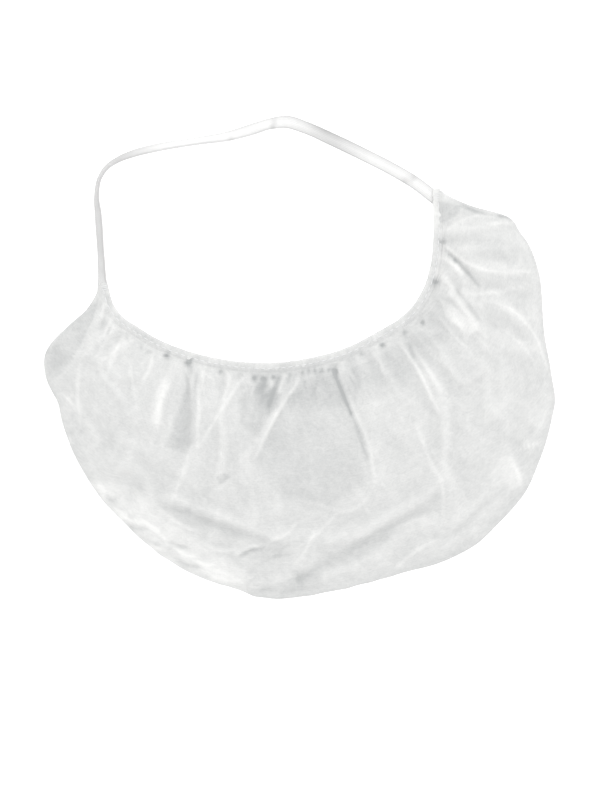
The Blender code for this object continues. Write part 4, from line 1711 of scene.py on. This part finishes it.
    def sheet(self) -> tuple[Array, Array]:
        """Join the pouch's rows, from hem to hem.

        Returns:
            All its points by row and column, and how light each is, about 0.5, painted light and shade
            included.
        """
        share = np.linspace(0, 1, self.columns + 1)
        along = self.form.lines(share, Layer.FRONT)[0]
        front, light = self.front_layer()
        bends = np.linspace(0, 1, self.turn_rows + 1)[1:]
        turned = self.rows_of(self.form.turned, share, bends)
        turned[:, :, 2] = self.pinched(turned[:, :, 2], np.ones(len(bends)))
        downs = 1 - np.linspace(0, 1, self.back_rows + 1)[1:]
        back = self.rows_of(self.form.back, share, downs)
        wave = lattice_noise(back[:, :, :2], self.ripple_cell, self.ripple_seed)
        back[:, :, 2] += np.clip(wave, 0, 1) * self.ripple * (downs < self.ripple_end)[:, None]
        first = self.tucked(along, Layer.FRONT, self.hem_depths)
        last = self.tucked(along, Layer.BACK, self.back_depths)
        grid = np.concatenate([first, front, turned, back, last])
        grid[:, [0, 1, -2, -1], 2] = np.maximum(grid[:, [0, 1, -2, -1], 2], self.thickness)
        light = np.pad(light, ((len(first), len(turned)), (0, 0)), mode="edge")
        return grid, PLAIN_LIGHT + np.pad(light, ((0, len(grid) - len(light)), (0, 0)))

    def build(self) -> Piece:
        """Make the pouch's cloth.

        Returns:
            The piece.
        """
        grid, shade = self.sheet()
        bm, row, column = flat_grid(self.columns, len(grid) - 1)
        across = np.broadcast_to(np.linspace(0, self.flat_size[0], self.columns + 1), grid.shape[:2])
        cloth = np.stack([across, self.runs(grid)], -1)
        placed(bm, grid[row, column], cloth[row, column], shade[row, column])
        piece = made_object("pouch_cloth", bm, self.finish.material())
        solidify = piece.modifiers.new("cloth_thickness", "SOLIDIFY")
        solidify.thickness = self.thickness
        solidify.offset = -1.0
        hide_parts("pouch")
        return piece


@dataclass
class HemBand:
    """A hem: the cloth folded double over a thin elastic thread, shirred along its length."""

    mouth: MouthEdge
    layer: Layer
    finish: NonwovenFinish
    rings: int = 560
    around: int = 18
    fullness: float = 0.66
    flatness: float = 0.85
    seams: tuple[Seam, Seam] = (Seam(0.30, 1.0, 0.13, 1.0, 0.14), Seam(-0.25, 0.6, 0.1, 0.7, 0.12))
    seam_depth: float = 0.0002
    seam_shade: float = 0.03
    pucker: float = 0.0002
    scallop: float = 0.00012
    shade: float = 0.035
    slant: Pair = (0.0007, 0.0016)  # of the pleats, over half the hem's width
    pleat_cells: Pair = (0.0017, 0.001)
    slow_shade: float = 0.03
    slow_across: float = 0.002
    slow_cell: float = 0.008
    edge_shade: float = 0.03
    tip_light: float = 0.10
    tip: Pair = (0.90, 0.97)
    samples: int = 400
    seed: int = 3

    @property
    def node(self) -> str:
        """The solid that the hem stands for."""
        return f"{self.layer.value}_hem"

    def frame(self, along: Array) -> tuple[Array, Array, Array]:
        """Read the hem's own axes.

        Args:
            along: Shares along the hem.

        Returns:
            The middle line, the way across it into the pouch and the way up.
        """
        half = self.mouth.hem_width / 2
        plan = self.mouth.inside(along, half, self.layer)
        back = np.full(len(along), self.mouth.hem_thickness / 2)
        height = self.mouth.hem_height(along) if self.layer is Layer.FRONT else back
        line = np.column_stack([plan, height])
        side = np.column_stack([self.mouth.inward(along), np.zeros(len(along))])
        ahead = unit(np.gradient(line, axis=0))
        side = unit(side - ahead * np.sum(side * ahead, axis=1)[:, None])
        return line, side, np.cross(ahead, side) * -1

    def points(self, along: Array, turn: Array) -> Array:
        """Read the hem's surface.

        Args:
            along: Shares along the hem.
            turn: Shares round it, from the pouch's side over the top.

        Returns:
            The points.
        """
        shares = np.linspace(0, 1, self.samples)
        rows = smooth(shares, np.hstack(self.frame(shares)), along)
        line, side, up = rows[:, :3], rows[:, 3:6], rows[:, 6:]
        across = self.across(turn)
        rise = rounded(np.sin(2 * math.pi * turn), self.fullness)
        shirr = self.shirr(along, across)
        width = self.mouth.hem_width / 2 + self.scallop * shirr * np.abs(across)
        thick = self.mouth.hem_thickness / 2 * self.flatness
        for seam in self.seams:
            thick = thick - self.seam_depth * seam.deep * bell((across - seam.place) / seam.groove)
        taper = self.mouth.taper(along)
        rises = rise * (thick + self.pucker * shirr) * taper
        spots = line + side * (across * width * (0.7 + 0.3 * taper))[:, None] + up * rises[:, None]
        spots[:, 2] = np.maximum(spots[:, 2], 0)
        return spots

    def across(self, turn: Array) -> Array:
        """How far across the hem each share round it is, from -1 at the mouth's edge to 1."""
        return rounded(np.cos(2 * math.pi * turn), self.fullness)

    def shirr(self, along: Array, across: Array) -> Array:
        """Read the small pleats across the hem.

        Args:
            along: Shares along the hem.
            across: How far across each place is, from -1 to 1.

        Returns:
            How far each place stands out, about 0 on average.
        """
        run = along * self.mouth.length
        slant = np.column_stack([run + across * self.slant[0], across * self.slant[1]])
        wide, fine = self.pleat_cells
        return lattice_noise(slant, wide, self.seed) + 0.5 * lattice_noise(slant, fine, self.seed + 1)

    def light(self, along: Array, turn: Array) -> Array:
        """Read how light the cloth is: painted shade along its seams and in its pleats, a slow random
        tone, darker from the mouth's edge across to the pouch's side, and lighter towards its right end.

        Args:
            along: Shares along the hem.
            turn: Shares round it.

        Returns:
            How light each place is, about 0.5.
        """
        across = self.across(turn)
        seams = sum(seam.dark * bell((across - seam.place) / seam.shadow) for seam in self.seams)
        cells = np.column_stack([along * self.mouth.length, across * self.slow_across])
        slow = self.slow_shade * lattice_noise(cells, self.slow_cell, self.seed + 2)
        plain = PLAIN_LIGHT + self.shade * self.shirr(along, across) + slow - self.edge_shade * across
        return plain + self.tip_light * ramp(along, *self.tip) - self.seam_shade * seams

    def build(self) -> Piece:
        """Make the hem.

        Returns:
            The piece.
        """
        bm, row, column = flat_grid(self.rings, self.around)
        along, turn = column / self.rings, row / self.around
        round_length = 2 * (self.mouth.hem_width + self.mouth.hem_thickness)
        cloth = np.column_stack([along * FLAT_LENGTH, turn * round_length])
        placed(bm, self.points(along, turn), cloth, self.light(along, turn))
        closed(bm)
        piece = made_object(f"{self.node}_band", bm, self.finish.material())
        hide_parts(self.node)
        return piece


@dataclass
class SeamStitches:
    """The row of stitches that holds a hem shut, and the bars that hold the strap's ends."""

    hem: HemBand
    finish: ThreadFinish
    pitch: float = 0.0033
    stitch_length: float = 0.0024
    thickness: float = 0.00032
    first: float = 0.015  # the share along the hem at which the row starts
    row_share: float = 0.97  # of the hem's length
    bar_places: tuple[float, ...] = (0.009, 0.0125, 0.016)  # shares in from each end of the hem
    bar_turns: Pair = (0.13, 0.37)

    def stitch(self, bm: bmesh.types.BMesh, spots: Array, up: Vector) -> None:
        """Add one stitch.

        Args:
            bm: The mesh that it is added to.
            spots: Its two ends.
            up: The way out of the cloth under it.
        """
        start, end = Vector(spots[0]), Vector(spots[1])
        ahead = (end - start).normalized()
        side = up.cross(ahead).normalized()
        turn = Matrix((ahead, side, up)).transposed().to_4x4()
        half = (end - start).length / 2
        size = Matrix.Diagonal((half, self.thickness * 0.75, self.thickness / 2, 1.0))
        place = Matrix.Translation((start + end) / 2 + up * self.thickness / 4) @ turn @ size
        made = bmesh.ops.create_uvsphere(bm, u_segments=8, v_segments=6, radius=1.0)
        layer = bm.loops.layers.uv.verify()
        for vert in made["verts"]:
            for loop in vert.link_loops:
                angle = math.atan2(vert.co.z, vert.co.y)
                loop[layer].uv = (vert.co.x * half, angle * self.thickness / 2)
        bmesh.ops.transform(bm, matrix=place, verts=made["verts"])

    def build(self) -> Piece:
        """Make the row of stitches.

        Returns:
            The piece.
        """
        mouth = self.hem.mouth
        bm = bmesh.new()
        bm.loops.layers.uv.new(CLOTH_MAP)
        number = int(mouth.length * self.row_share / self.pitch)
        starts = self.first + np.arange(number) * self.pitch / mouth.length
        ends = starts + self.stitch_length / mouth.length
        turn = math.acos(self.hem.seams[0].place ** (1 / self.hem.fullness)) / (2 * math.pi)
        turns = np.full(number, turn)
        rows = np.stack([self.hem.points(starts, turns), self.hem.points(ends, turns)], 1)
        ups = self.hem.frame(starts)[2]
        for spots, up in zip(rows, ups):
            self.stitch(bm, spots, Vector(up).normalized())
        if self.hem.layer is Layer.FRONT:
            self.bars(bm)
        in_order(bm)
        piece = made_object(f"{self.hem.node}_stitches", bm, self.finish.material())
        return piece

    def bars(self, bm: bmesh.types.BMesh) -> None:
        """Add the short bars across the hem over each end of the strap.

        Args:
            bm: The mesh that they are added to.
        """
        for place in [*self.bar_places, *(1 - place for place in self.bar_places)]:
            pair = self.hem.points(np.array([place, place]), np.array(self.bar_turns))
            up = self.hem.frame(np.array([place, place + 0.002]))[2][0]
            self.stitch(bm, pair, Vector(up).normalized())


@dataclass
class HeadStrap:
    """The flat elastic strap that loops from one end of the mouth to the other."""

    mouth: MouthEdge
    finish: ElasticFinish
    width: float = 0.00635
    thickness: float = 0.001
    rise: float = 0.0595
    seat: float = 0.0045
    seats: tuple[Pair, ...] = ((-0.0026, -0.0009), (0.0021, -0.0017))
    seat_leans: tuple[int, ...] = (14, 38, 0, 0)  # at the two points of each seated end
    # painted shade where the strap stands steep
    lean_shade: float = 0.44
    steep: Pair = (30, 62)  # leans between which painted shade darkens the strap
    steep_end: Pair = (0.30, 0.42)  # shares along the strap between which that ends
    edge_shade: float = 0.34
    edge: Pair = (0.26, 0.44)  # shares of the width between which painted shade darkens the edges
    edge_lost: float = 0.8  # how much of the edges' shade is lost where the strap is steep
    rings: int = 360
    around: int = 20
    edge_round: float = 0.32
    face_round: float = 1.6
    face_rise: float = 0.46

    def half_height(self, lean: Array) -> Array:
        """Half the height that the strap takes up where it leans."""
        return np.abs(np.sin(lean)) * self.width / 2 + np.cos(lean) * self.thickness / 2

    def line(self) -> tuple[Array, Array]:
        """Lay the strap out from one end between the hems to the other.

        Returns:
            Its middle line, and its lean in radians at each point.
        """
        tips = self.mouth.rows[[0, -1], :2]
        spots = tips[0] + np.array([p.along * (tips[1] - tips[0]) for p in STRAP_LINE])
        spots[:, 1] += np.array([p.rise for p in STRAP_LINE]) * self.rise
        seats = tips + self.seats
        runs = unit(seats - spots[[0, -1]])
        tails = seats + runs * self.seat
        spots = np.vstack([tails[:1], seats[:1], spots, seats[1:], tails[1:]])
        lean = np.radians([*self.seat_leans[:2], *(p.lean for p in STRAP_LINE), *self.seat_leans[2:]])
        height = np.full(len(lean), self.mouth.stack / 2)
        clear = np.array([p.clear for p in STRAP_LINE]) * self.width
        height[2:-2] = self.half_height(lean[2:-2]) + clear
        rows = np.column_stack([spots, height, lean])
        rows = smooth(chord_keys(spots), rows, np.linspace(0, 1, self.rings + 1))
        rows[:, 2] = np.maximum(rows[:, 2], self.half_height(rows[:, 3]))
        return rows[:, :3], rows[:, 3]

    def build(self) -> Piece:
        """Make the strap.

        Returns:
            The piece.
        """
        line, lean = self.line()
        ahead = unit(np.gradient(line, axis=0))
        level = unit(np.gradient(line[:, :2], axis=0))
        side = np.column_stack([level[:, 1], -level[:, 0]]) * np.cos(lean)[:, None]
        side = unit(np.column_stack([side, np.sin(lean)]))
        up = unit(np.cross(ahead, side))
        side = np.cross(up, ahead)
        bm, row, column = flat_grid(self.rings, self.around)
        turn = 2 * math.pi * row / self.around
        across = rounded(np.cos(turn), self.edge_round) * self.width / 2
        rise = rounded(np.sin(turn), self.edge_round * self.face_round) * self.thickness * self.face_rise
        spots = line[column] + side[column] * across[:, None] + up[column] * rise[:, None]
        length = np.linalg.norm(np.diff(line, axis=0), axis=1).sum()
        cloth_spots = np.column_stack([column / self.rings * length, across])
        share = np.linspace(0, 1, len(lean))
        steep = (ramp(np.degrees(lean), *self.steep) * (1 - ramp(share, *self.steep_end)))[column]
        low, high = self.edge
        edge = ramp(np.abs(across), self.width * low, self.width * high) * (1 - self.edge_lost * steep)
        # Painted shade: along the edges, where the strap stands steep, and where it twists.
        dark = self.edge_shade * edge + self.lean_shade * steep
        for twist_shade in STRAP_TWIST_SHADES:
            near = ((share[column] - twist_shade.share) / twist_shade.reach) ** 2
            near += ((across / self.width - twist_shade.across) / twist_shade.wide) ** 2
            dark += twist_shade.dark * np.exp(-near)
        placed(bm, spots, cloth_spots, PLAIN_LIGHT - dark)
        closed(bm)
        piece = made_object("head_strap", bm, self.finish.material())
        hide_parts("strap")
        return piece


@dataclass
class Studio:
    """The pale floor, the soft lights and the camera straight above."""

    floor: FloorFinish = field(default_factory=FloorFinish)
    focus: Pair = (0.00025, -0.02125)
    camera_height: float = 1.6
    view_width: float = 0.300
    sky_strength: float = 0.80
    key_place: Place = (0.35, 0.65, 1.1)
    key_strength: float = 1.0
    fill_place: Place = (-0.7, -0.8, 1.2)
    fill_strength: float = 0.4
    lamp_angles: Pair = (50.0, 80.0)
    sensor: float = 36.0  # in mm
    floor_half: float = 2.5
    floor_drop: float = 0.0002

    def lamp(self, name: str, place: Place, strength: float, angle: float) -> None:
        """Add a wide soft light that faces the cover.

        Args:
            name: The light's name.
            place: Where it is.
            strength: Its strength at the cover.
            angle: How wide it is, seen from the cover.
        """
        light = bpy.data.lights.new(name, "SUN")
        light.energy = strength
        light.angle = math.radians(angle)
        made = in_scene(name, light)
        made.location = place
        made.rotation_euler = (-Vector(place)).to_track_quat("-Z", "Y").to_euler()

    def build(self) -> None:
        """Set up the floor, the lights and the camera."""
        floor = level_square("floor", self.floor_half, -self.floor_drop)
        floor.data.materials.append(self.floor.material())
        self.lamp("key_light", self.key_place, self.key_strength, self.lamp_angles[0])
        self.lamp("fill_light", self.fill_place, self.fill_strength, self.lamp_angles[1])
        world = bpy.data.worlds.new("studio")
        world.use_nodes = True
        sky = world.node_tree.nodes["Background"]
        sky.inputs["Color"].default_value = (1.0, 1.0, 1.0, 1.0)
        sky.inputs["Strength"].default_value = self.sky_strength
        bpy.context.scene.world = world
        bpy.context.scene.view_settings.view_transform = "Standard"
        camera = bpy.data.cameras.new("camera")
        camera.sensor_fit = "HORIZONTAL"
        camera.sensor_width = self.sensor
        camera.lens = self.sensor * self.camera_height / self.view_width
        made = in_scene("camera", camera)
        made.location = (*self.focus, self.camera_height)
        bpy.context.scene.camera = made


def main() -> None:
    """Build the cover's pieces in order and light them."""
    logging.basicConfig(level=logging.INFO, format="%(message)s")
    Studio().build()
    mouth = MouthEdge()
    form = PouchForm(mouth)
    cloth = NonwovenFinish("spunbonded_cloth")
    thread = ThreadFinish("sewing_thread")
    pouch_maker = ClothPouch(mouth, form, cloth)
    pouch = pouch_maker.build()
    trims = []
    for layer in Layer:
        hem = HemBand(mouth, layer, NonwovenFinish(f"{layer.value}_hem_cloth"))
        trims += [hem.build(), SeamStitches(hem, thread).build()]
    strap = HeadStrap(mouth, ElasticFinish("knitted_elastic")).build()
    for piece in (pouch, *trims, strap):
        LOG.info("%s: %d vertices", piece.name, len(piece.data.vertices))


if __name__ == "__main__":
    main()
